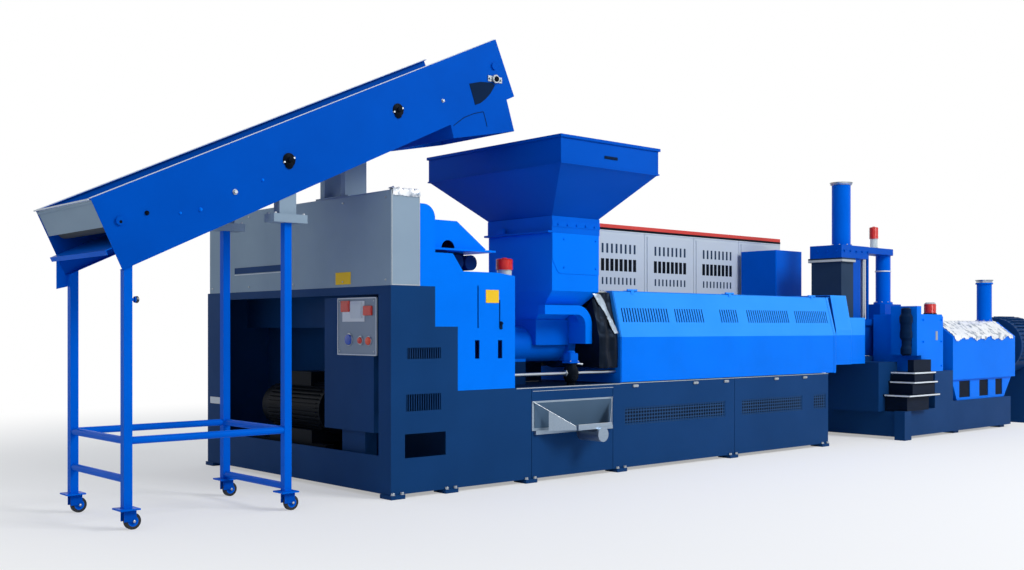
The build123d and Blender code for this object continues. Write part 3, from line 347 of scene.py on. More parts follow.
def slab(shape, low, high, edge):
    """Plate or block with its edges broken."""
    made = bmesh.ops.create_cube(shape, size=1)["verts"]
    middle = (Vector(low) + Vector(high)) / 2
    size = Vector(high) - Vector(low)
    for vert in made:
        vert.co = Vector([vert.co[i] * size[i] + middle[i] for i in range(3)])
    edges = list({e for v in made for e in v.link_edges})
    bmesh.ops.bevel(shape, geom=edges, offset=min(edge * MM, min(size) * 0.4), segments=2, affect="EDGES")


def turned(shape, at, axis, profile, sides=32):
    """A form turned about axis from at. The profile is pairs of radius and height."""
    turn = Vector(axis).to_track_quat("Z", "Y").to_matrix()
    rings = []
    for radius, height in profile:
        ring = []
        for i in range(sides if radius else 1):
            angle = 2 * math.pi * i / sides
            spot = Vector((radius * math.cos(angle), radius * math.sin(angle), height)) * MM
            ring.append(shape.verts.new(Vector(at) + turn @ spot))
        rings.append(ring)
    for lower, upper in zip(rings, rings[1:]):
        for i in range(sides):
            corners = [lower[i % len(lower)], lower[(i + 1) % len(lower)], upper[(i + 1) % len(upper)],
                       upper[i % len(upper)]]
            shape.faces.new(list(dict.fromkeys(corners)))


def peg(radius, height, across, down):
    """Profile of a peg, nut or cap whose end is chamfered."""
    return [(0, 0), (radius, 0), (radius, height - down), (radius - across, height), (0, height)]


def rod(shape, start, end, radius, edge, sides):
    axis = Vector(end) - Vector(start)
    length = axis.length / MM
    turned(shape, start, axis, [(0, 0), (radius - edge, 0), (radius, edge), (radius, length - edge),
                                (radius - edge, length), (0, length)], sides)


def bolt(shape, at, axis, across):
    """Washer and hexagon head, seated on the face at the given spot."""
    r = across * HEX_CORNER
    washer, head, crown = across * 0.1, across * 0.62, across * 0.72
    turned(shape, at, axis, [(0, 0), (r * 1.25, 0), (r * 1.25, washer), (0, washer)], 24)
    turned(shape, at, axis, [(r, washer), (r, head), (r * 0.86, crown), (0, crown)], 6)


def pierced(shape, corner, size, pitch, hole):
    """Upright sheet with a grid of punched holes. Size, pitch and hole are in mm along X and Z, and hole is
    half of a hole's width and height."""
    columns, rows = int(size[0] / pitch[0]), int(size[1] / pitch[1])
    cell = (size[0] / columns, size[1] / rows)
    rim = [(1, 0), (1, 1), (0, 1), (-1, 1), (-1, 0), (-1, -1), (0, -1), (1, -1)]
    for column in range(columns):
        for row in range(rows):
            middle = ((column + 0.5) * cell[0], (row + 0.5) * cell[1])
            outer, inner = [], []
            for x, y in rim:
                diagonal = HOLE_CORNER if x and y else 1
                for ring, half, cut in ((outer, (cell[0] / 2, cell[1] / 2), 1), (inner, hole, diagonal)):
                    place = (middle[0] + x * half[0] * cut, middle[1] + y * half[1] * cut)
                    ring.append(shape.verts.new(Vector(corner) + Vector((place[0], 0, place[1])) * MM))
            wrap(shape, outer, inner)
    bmesh.ops.remove_doubles(shape, verts=shape.verts, dist=0.0001)


def wrap(shape, a, b):
    """Faces between two rings of points."""
    for k in range(len(a)):
        n = (k + 1) % len(a)
        shape.faces.new((a[k], a[n], b[n], b[k]))


def prism(shape, outline, reach):
    """Solid between an outline and the same outline moved by reach."""
    near = [shape.verts.new(spot) for spot in outline]
    far = [shape.verts.new(spot + reach) for spot in outline]
    wrap(shape, near, far)
    shape.faces.new(near[::-1])
    shape.faces.new(far)


def crumpled(shape, lines):
    """Thin sheet through rows of points, such as foil or flashing."""
    for a, b in zip(lines, lines[1:]):
        for j in range(len(a) - 1):
            shape.faces.new((a[j], b[j], b[j + 1], a[j + 1]))


def fins(shape, start, along, length, radius, height, thick, count, lowest):
    """Cooling fins round a motor's body, with none where its foot stands. All sizes are in metres."""
    along = Vector(along)
    for i in range(count):
        angle = 2 * math.pi * (i + 0.5) / count
        out = Vector((along.y * math.cos(angle), along.x * math.cos(angle), math.sin(angle)))
        if out.z < lowest:
            continue
        foot = Vector(start) + out * radius
        side = out.cross(along) * thick / 2
        prism(shape, [foot - side, foot + side, foot + side + out * height, foot - side + out * height],
              along * length)


def piece(name, shape, finish, body="machine"):
    """Turns the gathered shapes into one object that rides on its body."""
    bmesh.ops.recalc_face_normals(shape, faces=shape.faces)
    mesh = bpy.data.meshes.new(name)
    shape.to_mesh(mesh)
    shape.free()
    mesh.materials.append(finish)
    for face in mesh.polygons:
        face.use_smooth = True
    mesh.set_sharp_from_angle(angle=SHARP)
    made = bpy.data.objects.new(name, mesh)
    bpy.context.scene.collection.objects.link(made)
    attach(made, body)
    return made


def plates(name, boxes, finish, edge=1):
    """Flat pieces that share a finish, each given by its low and high corner."""
    shape = bmesh.new()
    for low, high in boxes:
        slab(shape, low, high, edge)
    return piece(name, shape, finish)


def each_bolt(name, spots, axis, across, finish=ZINC_PLATE):
    shape = bmesh.new()
    for spot in spots:
        bolt(shape, spot, axis, across)
    return piece(name, shape, finish)


# Extruder base: grilles and their dark backs of painted shade, clips, zinc edge strips as painted highlights,
# dark back of the feed well as painted shade, tray back sheet of painted shade, tray rim as painted
# highlights, foot bolts
BASE_TOP = 0.74
GRILLES = ((2.4, 3.76), (4.01, 4.99), (5.19, 5.41))
GRILLE_LOW, GRILLE_HIGH, GRILLE_MM = 0.386, 0.53, 144
GRILLE_PITCH, GRILLE_HOLE = (34, 28.8), (13.5, 11.5)
CLIPS_X = (2.53, 3.33, 3.77, 4.55, 5.03)
FEET = ((1.32, 0.045), (2.35, 0.045), (3.87, 0.045), (5.38, 0.045), (0.05, 0.04), (0.53, 0.04))
FOOT_TOP = 0.03


def build_base():
    shape = bmesh.new()
    for x0, x1 in GRILLES:
        pierced(shape, (x0, 0.003, GRILLE_LOW), ((x1 - x0) * 1000, GRILLE_MM), GRILLE_PITCH, GRILLE_HOLE)
    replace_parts(piece("grille_sheets", shape, GRILLE_BLUE), "base_grilles")
    # Dark plates behind the grille holes: painted shade inside the base
    plates("grille_painted_shade_backs", [((x0, 0.008, GRILLE_LOW), (x1, 0.009, GRILLE_HIGH)) for x0, x1 in GRILLES],
           STACK_BLACK, 0.3)
    shape = bmesh.new()
    for x in CLIPS_X:
        slab(shape, (x - 0.035, -0.014, 0.70), (x + 0.035, 0, 0.722), 5)
        turned(shape, (x, -0.014, 0.711), FRONT, peg(6, 4.5, 1.5, 1.5), 20)
    piece("edge_clips", shape, ZINC_PLATE)
    # Zinc strips along the base's front top edges: their bright lines are painted highlights on those edges
    plates("base_edge_painted_highlights", [((1.175, -0.005, 0.731), (2.345, 0, 0.738)),
                           ((1.35, -TRIM, 0.706), (2.26, 0, 0.710)),
                           ((2.345, -TRIM, 0.734), (5.45, 0, BASE_TOP))], ZINC_PLATE)
    # Dark sheet at the back of the feed well: painted shade under the barrel
    plates("well_painted_shade_plate", [((1.17, 0.72, 0.741), (2.118, 0.724, 1.0))], DARK_NAVY)
    # Grey-blue sheet over the tray's back wall: painted shade inside the tray
    plates("tray_back_painted_shade", [((1.362, -0.006, 0.42), (2.232, -0.0035, 0.616))], TRAY_PAINTED_SHADE)
    # Zinc rods along the tray's cheeks and front lip: painted highlights on its edges
    shape = bmesh.new()
    for start, end in (((1.343, -0.004, 0.630), (1.641, -0.188, 0.428)),
                       ((2.248, -0.004, 0.630), (2.021, -0.188, 0.428)),
                       ((1.642, -0.209, 0.442), (2.02, -0.209, 0.442))):
        rod(shape, start, end, 3, 1, 12)
    piece("tray_rim_painted_highlights", shape, ZINC_PLATE)
    spots = [(x + side * reach, -0.008, FOOT_TOP) for x, reach in FEET for side in (-1, 1)]
    each_bolt("foot_bolts", spots, UP, 24)


# Drive end: louvre blades, hood stripe, zinc strips as painted highlights on the hood's edges, flashing and
# screws, bare plates, panel instruments, motor fins
LOUVRES = ((0.138, 0.443, 0.98, 1.06), (0.13, 0.443, 0.61, 0.73))
BLADES = 15
HOOD_LOW, HOOD_HIGH = 1.508, 2.166
STRIPE_Y = (1.46, 2.25)
PANEL_FACE = 0.009
METERS = ((0.521, 0.635, 1.318, 1.4), (0.234, 0.345, 1.29, 1.36))
DISPLAY = (0.36, 0.505, 1.27, 1.385)
BUTTONS = (("blue_button", BUTTON_BLUE, "button_blue", 0.533, 1.115, 40),
           ("red_button", METER_RED, "button_red", 0.386, 1.11, 24),
           ("orange_button", BUTTON_ORANGE, "button_red", 0.28, 1.107, 30))
BUTTON_RINGS = ((0.386, 1.11, 33), (0.28, 1.107, 35), (0.533, 1.115, 46))


def build_hood():
    blades = []
    for x0, x1, z0, z1 in LOUVRES:
        for i in range(BLADES):
            x = x0 + (i + 0.3) * (x1 - x0) / BLADES
            blades.append(((x, 0.001, z0), (x + 0.007, 0.007, z1)))
    plates("front_louvres", blades, NAVY)
    y0, y1 = STRIPE_Y
    plates("hood_stripe", [((-TRIM, y0, 1.654), (0, y1, 1.704))], NAVY)
    plates("end_plates", [((-TRIM, y0, 1.642), (0, y1, 1.648)), ((-TRIM, 2.50, 0.545), (0, 2.69, 0.602))],
           PANEL_WHITE)
    # Zinc strips on the edges of the hood's front face: painted highlights along them
    plates("hood_edge_painted_highlights", [((0.004, -TRIM, 1.502), (0.253, 0, HOOD_LOW)),
                         ((0.245, -TRIM, HOOD_LOW), (0.251, 0, HOOD_HIGH)),
                         ((0.004, -TRIM, HOOD_LOW), (0.01, 0, HOOD_HIGH))], ZINC_PLATE)
    shape = bmesh.new()
    path = [(-0.004, 2.128), (-0.006, 2.15), (-0.005, 2.17), (0.004, 2.18), (0.03, 2.179), (0.06, 2.176)]
    steps = 24
    lines = []
    for i in range(steps + 1):
        wave = 0.012 * math.sin(i * 1.9) * math.sin(i * 0.7 + 1)
        lines.append([shape.verts.new((0.012 + 0.24 * i / steps, y - random.uniform(0, 0.005),
                                       z + wave * (z > 2.16) + random.uniform(0, 0.008)))
                      for y, z in path])
    crumpled(shape, lines)
    piece("hood_flashing", shape, FOIL)
    spots = [(-0.001, y, z) for y in (0.06, 0.6, 1.3, 2.0, 2.64) for z in (1.54, 2.12)]
    each_bolt("hood_screws", spots, END, 11)
    plates("bare_plates", [((0.869, -TRIM, 1.389), (0.998, 0, 1.486)),
                           ((-TRIM, 0.50, 1.52), (0, 0.70, 1.61))],
           PLATE_YELLOW)
    shape = bmesh.new()
    slab(shape, (1.004, -0.008, 1.19), (1.032, 0, 1.25), 3)
    turned(shape, (1.018, -0.008, 1.235), FRONT, peg(11, 13, 3, 3), 20)
    piece("cover_latch", shape, DARK_NAVY)


def build_panel():
    x = PANEL_FACE
    spots = [(0.012, y, z) for y in (0.22, 0.66) for z in (1.03, 1.395)]
    each_bolt("panel_screws", spots, END, 10)
    plates("display_plate", [((x - TRIM, 0.336, 1.246), (x, 0.622, 1.395))], PANEL_WHITE)
    rim = ((0.188, 0.194, 1.003, 1.419), (0.681, 0.687, 1.003, 1.419), (0.194, 0.681, 1.003, 1.009),
           (0.194, 0.681, 1.413, 1.419))
    plates("panel_rim", [((x - 0.004, y0, z0), (x, y1, z1)) for y0, y1, z0, z1 in rim],
           PANEL_WHITE)
    for name, finish, slot, boxes in (("panel_meters", METER_RED, "button_red", METERS),
                                      ("panel_display", CABINET_GREY, "light_paint", (DISPLAY,))):
        shape = bmesh.new()
        for y0, y1, z0, z1 in boxes:
            slab(shape, (x - 0.012, y0, z0), (x, y1, z1), 4)
            slab(shape, (x - 0.014, y0 + 0.012, z0 + 0.014), (x - 0.011, y1 - 0.012, z1 - 0.012), 1)
        piece(name, shape, finish)
    for name, finish, slot, y, z, r in BUTTONS:
        shape = bmesh.new()
        turned(shape, (x, y, z), END, [(0, 0), (r, 0), (r, 12), (r - 4, 18), (r - 12, 20), (0, 20)])
        piece(name, shape, finish)
    shape = bmesh.new()
    for y, z, r in BUTTON_RINGS:
        turned(shape, (x, y, z), END, [(0, 0), (r, 0), (r, 5), (r - 3, 7), (r - 8, 7), (r - 8, 0)])
    piece("button_rings", shape, ZINC_PLATE)
    shape = bmesh.new()
    fins(shape, (0.3, 1.13, 0.56), (0, 1, 0), 0.74, 0.194, 0.022, 0.005, 36, -0.8)
    piece("motor_fins", shape, BLACK_ENAMEL)


# Beacons: clear foot, ribbed red lens; the one on the second gearbox has a clear cap and a black socket
GEARBOX_BEACON = (7.32, -0.11, 1.352)
BEACONS = (((1.122, 0.076, 1.596), 66, 50, 78), (GEARBOX_BEACON, 66, 12, 100),
           ((7.07, 0.44, 2.113), 50, 105, 125))
LENS_RIBS = 9


def build_beacons():
    lens, foot = bmesh.new(), bmesh.new()
    for at, r, foot_h, lens_h in BEACONS:
        turned(foot, at, UP, [(0, 0), (r, 0), (r, 5), (r - 9, 8), (r - 9, foot_h - 3), (r - 4, foot_h),
                              (0, foot_h)])
        rib = lens_h / LENS_RIBS
        profile = [(0, foot_h), (r, foot_h)]
        for i in range(LENS_RIBS):
            low = foot_h + lens_h * i / LENS_RIBS
            profile += [(r, low + 1), (r - 2.5, low + rib * 0.55), (r, low + rib)]
        top = foot_h + lens_h
        profile += [(r - 10, top + 7), (r * 0.3, top + 10), (r * 0.3, top + 15), (0, top + 16)]
        turned(lens, at, UP, profile)
    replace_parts(piece("beacon_lenses", lens, LENS_RED), "warning_beacons")
    piece("beacon_feet", foot, LENS_CLEAR)
    shape = bmesh.new()
    turned(shape, GEARBOX_BEACON, UP,
           [(22, 124), (50, 124), (57, 116), (60, 116), (60, 124), (44, 136), (22, 136)])
    piece("beacon_cap", shape, LENS_CLEAR)
    shape = bmesh.new()
    turned(shape, GEARBOX_BEACON, UP, [(58, 0), (72, 0), (72, 12), (66.5, 15), (58, 15)])
    piece("beacon_socket", shape, BLACK_ENAMEL)


# Hopper: folded lips round the rim, collar and throat bolts, latch
HOPPER_RIM = (1.346, 2.461, -0.317, 1.317)
LIP = 0.014


def build_hopper():
    shape = bmesh.new()
    x0, x1, y0, y1 = HOPPER_RIM
    for low, high in (((x0 - LIP, y0 - LIP), (x1 + LIP, y0)), ((x0 - LIP, y1), (x1 + LIP, y1 + LIP)),
                      ((x0 - LIP, y0), (x0, y1)), ((x1, y0), (x1 + LIP, y1))):
        slab(shape, (*low, 2.646), (*high, 2.67), 2)
        slab(shape, (low[0] + 0.008, low[1] + 0.008, 2.450), (high[0] - 0.008, high[1] - 0.008, 2.462), 2)
    piece("hopper_lips", shape, DEEP_BLUE)
    spots = [(1.72 + 0.105 * i, 0.1, 2.035) for i in range(5)]
    each_bolt("collar_bolts", spots, FRONT, 14, MID_BLUE)
    spots = [(x, 0.105, z) for x in (1.79, 2.16) for z in (1.69, 1.92)]
    each_bolt("throat_bolts", spots, FRONT, 13, BRIGHT_BLUE)
    plates("rim_latch", [((1.82, -0.323, 2.527), (1.97, -0.317, 2.55)),
                         ((1.835, -0.327, 2.533), (1.955, -0.322, 2.544))],
           DARK_NAVY, 2)


# Cooling water valve: cast body, square bonnet, side lever and unions
VALVE_AT = (1.835, 0.07)
BONNET_LOW, BONNET_HIGH = 0.930, 0.996


def build_valve():
    x, y = VALVE_AT
    shape = bmesh.new()
    turned(shape, (x, y, BASE_TOP), UP, [(0, 0), (36, 0), (36, 10), (30, 18), (46, 30), (60, 58), (63, 96),
                                         (58, 130), (44, 154), (38, 178), (0, 178)])
    turned(shape, (x, y, 0.80), (-0.4, -1, 0), [(0, 40), (24, 40), (24, 60), (18, 64), (0, 64)], 20)
    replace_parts(piece("valve_body", shape, BLACK_ENAMEL), "cooling_valve")
    shape = bmesh.new()
    slab(shape, (x - 0.046, y - 0.04, BONNET_LOW), (x + 0.046, y + 0.04, BONNET_HIGH), 5)
    slab(shape, (x - 0.054, y - 0.048, 0.916), (x + 0.054, y + 0.048, BONNET_LOW), 3)
    turned(shape, (x, y, BONNET_HIGH), UP, [(0, 0), (34, 0), (34, 12), (26, 20), (0, 22)], 24)
    piece("valve_bonnet", shape, MID_BLUE)
    shape = bmesh.new()
    rod(shape, (x + 0.045, y - 0.02, 0.912), (x + 0.105, y - 0.03, 0.906), 8, 2, 16)
    for side in (-1, 1):
        turned(shape, (x + side * 0.04, y, 0.835), (side, 0, 0), peg(27, 26, 3, 4), 6)
    for side in (-1, 1):
        bolt(shape, (x + side * 0.044, y - 0.04, BONNET_LOW), UP, 9)
    piece("valve_lever", shape, ZINC_PLATE)


# Feeder: head bearings and caps, side bolts, belt tighteners, folds of the head, dark head plates of painted
# shadow, white rods as painted edge highlights, pad bolts, clamp knob, wheel hubs and axle nuts
FEEDER_SIDES = ((0.05, -1), (0.95, 1))
FEEDER_L = 3.42
TAIL_X, TAIL_Z = -1.9, 1.541
TILT = math.radians(25)
HEAD_X, HEAD_Z = 1.0, 3.088
TIGHTENERS = ((-0.782, 2.30), (0.097, 2.74))
TAIL_BOLTS = ((-1.916, 1.824), (-1.751, 1.888))
PAINTED_BOLTS = ((-1.406, 1.933, 18), (-1.538, 1.902, 12), (-0.975, 2.153, 14))
# Outline of a dark plate on each side panel beside the head bearing: painted shadow of the bearing
HEAD_SHADOW_OUTLINE = ((0.749, 3.02), (0.774, 2.958), (0.806, 2.869), (0.855, 2.888), (0.905, 2.924), (0.954, 2.972),
              (1.0, 3.04), (0.97, 3.06), (0.86, 3.05))
CHUTE_FOLD = ((0.60, 2.69), (0.70, 2.762), (0.80, 2.805), (0.887, 2.829), (0.904, 2.784), (0.924, 2.72))
LEG_X, LEG_Y = (-1.86, -0.78), (0.09, 0.93)
CASTOR_TRAIL, AXLE_Z = 0.035, 0.05


def up_belt(along, across, height):
    """Place on the feeder, measured along its tipped side panels."""
    return Vector((TAIL_X + along * math.cos(TILT) - height * math.sin(TILT), across,
                   TAIL_Z + along * math.sin(TILT) + height * math.cos(TILT)))


def build_feeder():
    shape = bmesh.new()
    for y, out in FEEDER_SIDES:
        at = Vector((HEAD_X, y, HEAD_Z))
        slab(shape, at + Vector((-0.07, min(0, out * 0.007), -0.022)),
             at + Vector((0.07, max(0, out * 0.007), 0.022)), 2)
        turned(shape, at, (0, out, 0), [(22, 7), (34, 7), (34, 20), (30, 24), (22, 24)])
        for side in (-1, 1):
            bolt(shape, at + Vector((side * 0.054, out * 0.007, 0)), (0, out, 0), 15)
    piece("head_bearings", shape, TURNED_STEEL)
    shape = bmesh.new()
    for y, out in FEEDER_SIDES:
        turned(shape, (HEAD_X, y, HEAD_Z), (0, out, 0), peg(21, 34, 5, 6), 24)
    piece("shaft_caps", shape, BLACK_ENAMEL)
    along = Vector((math.cos(TILT), 0, math.sin(TILT)))
    shape, dark = bmesh.new(), bmesh.new()
    for y, out in FEEDER_SIDES:
        bolt(shape, (-1.171, y, 2.06), (0, out, 0), 24)
        bolt(shape, (0.5, y, 2.86), (0, out, 0), 18)
        for x, z in TAIL_BOLTS:
            bolt(dark, (x, y, z), (0, out, 0), 20)
        for x, z in TIGHTENERS:
            for side in (-1, 1):
                bolt(shape, Vector((x, y, z)) + along * 0.04 * side, (0, out, 0), 14)
            turned(dark, (x, y, z), (0, out, 0),
                   [(0, 0), (46, 0), (46, 5), (34, 9), (20, 12), (16, 26), (0, 28)], 24)
            turned(dark, (x, y, z - 0.03), (0, out, 0), [(0, 0), (30, 0), (30, 8), (20, 14), (0, 15)], 12)
    piece("side_bolts", shape, ZINC_PLATE)
    blue = bmesh.new()
    for y, out in FEEDER_SIDES:
        for x, z, size in PAINTED_BOLTS:
            bolt(blue, (x, y, z), (0, out, 0), size)
    piece("blue_bolts", blue, BRIGHT_BLUE)
    piece("belt_tighteners", dark, BLACK_ENAMEL)
    # Dark plates on the side panels beside the head bearings: painted shadow
    shape = bmesh.new()
    for y, out in FEEDER_SIDES:
        prism(shape, [Vector((x, y, z)) for x, z in HEAD_SHADOW_OUTLINE], Vector((0, out * TRIM, 0)))
    piece("head_painted_shadows", shape, DARK_NAVY)
    shape = bmesh.new()
    for y in (0.049, 0.951):
        for (xa, za), (xb, zb) in zip(CHUTE_FOLD, CHUTE_FOLD[1:]):
            rod(shape, (xa, y, za), (xb, y, zb), 2.5, 0.8, 8)
    piece("chute_folds", shape, DARK_NAVY)
    # White rods along the top edges of both side panels and of the tail plate: painted highlights
    shape = bmesh.new()
    for y in (0.05, 0.912):
        rod(shape, up_belt(0, y + 0.019, 0.4515), up_belt(FEEDER_L, y + 0.019, 0.4515), 4, 0.8, 12)
    rod(shape, (-2.099, 0.06, 1.944), (-2.103, 0.94, 1.944), 5, 1.5, 12)
    piece("feeder_edge_painted_highlights", shape, PANEL_WHITE)
    spots = [(x, y + side * 0.045, 1.945) for y in LEG_Y for x in (-0.885, -0.675) for side in (-1, 1)]
    each_bolt("pad_bolts", spots, UP, 15)
    shape = bmesh.new()
    turned(shape, (-1.812, LEG_Y[0], 1.37), ALONG,
           [(0, 0), (14, 0), (20, 6), (22, 14), (20, 22), (12, 27), (0, 28)], 10)
    piece("clamp_knob", shape, KNOB_BLACK)


def build_castors():
    places = [(x, y) for x in LEG_X for y in LEG_Y]
    for number, (x, y) in enumerate(places, 1):
        shape = bmesh.new()
        for out in (-1, 1):
            turned(shape, (x + CASTOR_TRAIL, y + out * 0.0155, AXLE_Z), (0, out, 0),
                   [(6.5, 0), (32, 0), (32, 1), (27, 1.6), (12, 1.6), (10, 4), (6.5, 4)])
        piece("wheel_hub_%d" % number, shape, MID_BLUE, "wheel_%d" % number)
        shape = bmesh.new()
        for out in (-1, 1):
            turned(shape, (x + CASTOR_TRAIL, y + out * 0.03, AXLE_Z), (0, out, 0), peg(9, 6, 2, 1), 6)
        piece("axle_nuts_%d" % number, shape, ZINC_PLATE, "castor_%d" % number)


# Cabinets: dark plates of painted shade in the vent slots, strips under the red top, handles
CABINETS_X = [3.84 + 0.84 * i for i in range(4)]
CABINET_FACE, CABINET_END = 1.8, 7.2
VENT_FACE = 1.79
LARGE_VENTS = ((1.87, 0.13, 8, 0.05),)
SMALL_VENTS = ((2.045, 0.1, 8, 0.03), (1.70, 0.075, 9, 0.024))


def build_cabinets():
    # Dark plates in the vent slots: painted shade inside the cabinets
    for name, finish, slot, rows in (("large_vent_painted_shade", BLACK_ENAMEL, "black_paint", LARGE_VENTS),
                                     ("small_vent_painted_shade", SLATE, "navy_paint", SMALL_VENTS)):
        slots = []
        for x0 in CABINETS_X:
            for z, height, count, wide in rows:
                for j in range(count):
                    x = x0 + 0.17 + j * 0.5 / (count - 1)
                    slots.append(((x - wide / 2, VENT_FACE - 0.0015, z - height / 2),
                                  (x + wide / 2, VENT_FACE + 0.0015, z + height / 2)))
        plates(name, slots, finish)
    plates("top_shadow_strip", [((CABINETS_X[0], 1.796, 2.238), (CABINET_END, CABINET_FACE, 2.262))],
           BLACK_ENAMEL)
    plates("top_bright_strip", [((CABINETS_X[0], 1.794, 2.226), (CABINET_END, CABINET_FACE, 2.234))],
           PANEL_WHITE)
    shape = bmesh.new()
    for x0 in CABINETS_X:
        x = x0 + 0.74
        slab(shape, (x - 0.014, 1.768, 1.02), (x + 0.014, VENT_FACE, 1.2), 5)
        turned(shape, (x, 1.768, 1.16), FRONT, peg(9, 6, 2, 2), 20)
    piece("cabinet_handles", shape, BLACK_ENAMEL)


# Dark strips behind the guard's slots, painted shade inside them, fixed to the flap that they ride on
GUARD_SLOPE = Vector((0, 0.1, 0.39)).normalized()
GUARD_KNEE = Vector((0, 0, 1.125))
SLOT_STRIPS = ((2.42, 4.02), (4.06, 5.50))
STRIP_UP = (0.19, 0.355)
STRIP_IN = (0.006, 0.008)


def build_guard():
    inward = Vector((0, GUARD_SLOPE.z, -GUARD_SLOPE.y))
    (low, high), (near, far) = STRIP_UP, STRIP_IN
    shape = bmesh.new()
    for x0, x1 in SLOT_STRIPS:
        corners = [GUARD_KNEE + GUARD_SLOPE * up + inward * deep
                   for up, deep in ((low, near), (high, near), (high, far), (low, far))]
        prism(shape, [Vector((x0, spot.y, spot.z)) for spot in corners], Vector((x1 - x0, 0, 0)))
    piece("slot_painted_shade_backs", shape, DARK_NAVY, "guard")


# Second stage: foil over the cover's shoulder, screens in its skirt with dark backs of painted shade, motor
# fins and cowl
FOIL_LOW, FOIL_HIGH = Vector((7.70, -0.2, 1.1)), Vector((7.70, 0.02, 1.275))
FOIL_L = 1.47
FOIL_COLUMNS, FOIL_ROWS = 90, 26
SKIRT_WINDOWS = ((7.88, 8.14), (8.37, 8.595), (8.78, 8.96))
MOTOR_FINS_AT, MOTOR_COWL_AT = (9.42, 0.12, 0.98), (9.865, 0.12, 0.98)


def build_second_cover():
    shape = bmesh.new()
    slope = FOIL_HIGH - FOIL_LOW
    out = Vector((0, -slope.z, slope.y)).normalized()
    lines = []
    for i in range(FOIL_COLUMNS + 1):
        edge = 0.5 + 0.45 * math.sin(i * 0.33) * math.sin(i * 0.13 + 1) + random.uniform(-0.12, 0.12)
        line = []
        for j in range(FOIL_ROWS + 1):
            t = -0.1 * edge + 1.35 * j / FOIL_ROWS
            lift = 0.004 + random.uniform(0, 0.009)
            if t <= 1:
                spot = FOIL_LOW + slope * max(t, 0) + out * lift
                spot.z += min(t, 0) * 0.6
                spot.y -= 0.004 if t < 0 else 0
            else:
                spot = FOIL_HIGH + Vector((0, (t - 1) * slope.length, lift))
            line.append(shape.verts.new(spot + Vector((FOIL_L * i / FOIL_COLUMNS, 0, 0))))
        lines.append(line)
    crumpled(shape, lines)
    piece("cover_foil", shape, FOIL)
    shape = bmesh.new()
    for x0, x1 in SKIRT_WINDOWS:
        pierced(shape, (x0, -0.165, 0.4), ((x1 - x0) * 1000, 190), (15, 15), (4.5, 4.5))
        # Dark plates behind the screens and at the skirt's far side: painted shade inside the skirt
        slab(shape, (x0, -0.155, 0.4), (x1, -0.15, 0.59), 1)
        slab(shape, (x0, 0.39, 0.4), (x1, 0.395, 0.59), 1)
    piece("skirt_screens", shape, STACK_BLACK)
    shape = bmesh.new()
    fins(shape, MOTOR_FINS_AT, ALONG, 0.44, 0.338, 0.03, 0.006, 40, -0.55)
    turned(shape, MOTOR_COWL_AT, ALONG, [(0, 0), (352, 0), (360, 8), (360, 74), (340, 84), (0, 84)], 48)
    piece("second_motor_fins", shape, NAVY)


# Screen changer and second gearbox: die stack edges in white as painted highlights, bolts, rating plate,
# gasket, pipe rims, ram band
STACK_EDGES = ((6.51, 7.16, -0.31, 0.46), (6.62, 7.12, -0.305, 0.6), (6.64, 7.10, -0.295, 0.702))
FLANGES = ((6.62, 0.58, 2.129, 117), (9.1, 0.12, 1.291, 102), (7.41, 0.52, 1.499, 96))
FLANGE_BOLTS = 8


def build_changer():
    # White strips along the front and end edges of the die stack's plates: painted highlights
    edges = []
    for x0, x1, y0, z in STACK_EDGES:
        edges += [((x0, y0 - TRIM, z + 0.006), (x1, y0, z + 0.021)),
                  ((x0 - TRIM, y0, z + 0.006), (x0, -0.02, z + 0.021))]
    plates("stack_edge_painted_highlights", edges, PANEL_WHITE)
    spots = [(x, -0.2, z) for x in (7.0, 7.4) for z in (0.78, 1.05, 1.29)]
    each_bolt("gearbox_bolts", spots, FRONT, 18, BRIGHT_BLUE)
    plates("rating_plate", [((7.272, -0.203, 1.065), (7.318, -0.2, 1.165))], ZINC_PLATE)
    plates("header_gasket", [((6.307, 0.37, 1.93), (6.58, 0.4, 1.955)),
                             ((6.300, 0.37, 1.93), (6.312, 0.8, 1.955))],
           ZINC_PLATE, 3)
    spots = [(x, 0.38, 2.05) for x in (6.36, 6.48, 6.6, 6.72, 6.84)]
    each_bolt("header_bolts", spots, FRONT, 20, DEEP_BLUE)
    spots = [(6.305, y, 2.05) for y in (0.44, 0.56, 0.68)]
    each_bolt("header_end_bolts", spots, END, 20, DEEP_BLUE)
    spots = []
    for x, y, z, r in FLANGES:
        circle = (r - 7) * MM
        for i in range(FLANGE_BOLTS):
            angle = 2 * math.pi * (i + 0.5) / FLANGE_BOLTS
            spots.append((x + circle * math.cos(angle), y + circle * math.sin(angle), z))
    each_bolt("flange_bolts", spots, UP, 13)
    shape = bmesh.new()
    turned(shape, (6.62, 0.58, 2.80), UP, [(103, 0), (112, 4), (126, 30), (126, 33), (96, 33), (96, 24)], 48)
    turned(shape, (9.1, 0.12, 1.742), UP,
           [(88, 0), (93, 6), (93, 34), (106, 50), (106, 54), (82, 54), (82, 14)], 48)
    piece("vent_rims", shape, ZINC_PLATE)
    shape = bmesh.new()
    turned(shape, (7.41, 0.52, 1.853), UP, [(84, 0), (92, 0), (92, 14), (84, 14)], 48)
    piece("ram_band", shape, PANEL_WHITE)


# Insulation jacket between the feed boss and the guard, in place of the plain solid, with its foil strip
# and clamp
JACKET_SECTION = ((0.014, 0.865), (0.014, 1.13), (0.114, 1.5), (0.886, 1.5), (0.986, 1.13), (0.986, 0.865))
JACKET_X = (2.127, 2.350)
JACKET_STEP = 0.016
JACKET_COLUMNS = 26
SHOULDER_X, SHOULDER_Z = 2.211, 1.45
BARREL_AT, BORE_R = Vector((0, 0.5, 1.06)), 0.118
STRAP_STEPS, STRAP_COLUMNS = 26, 6


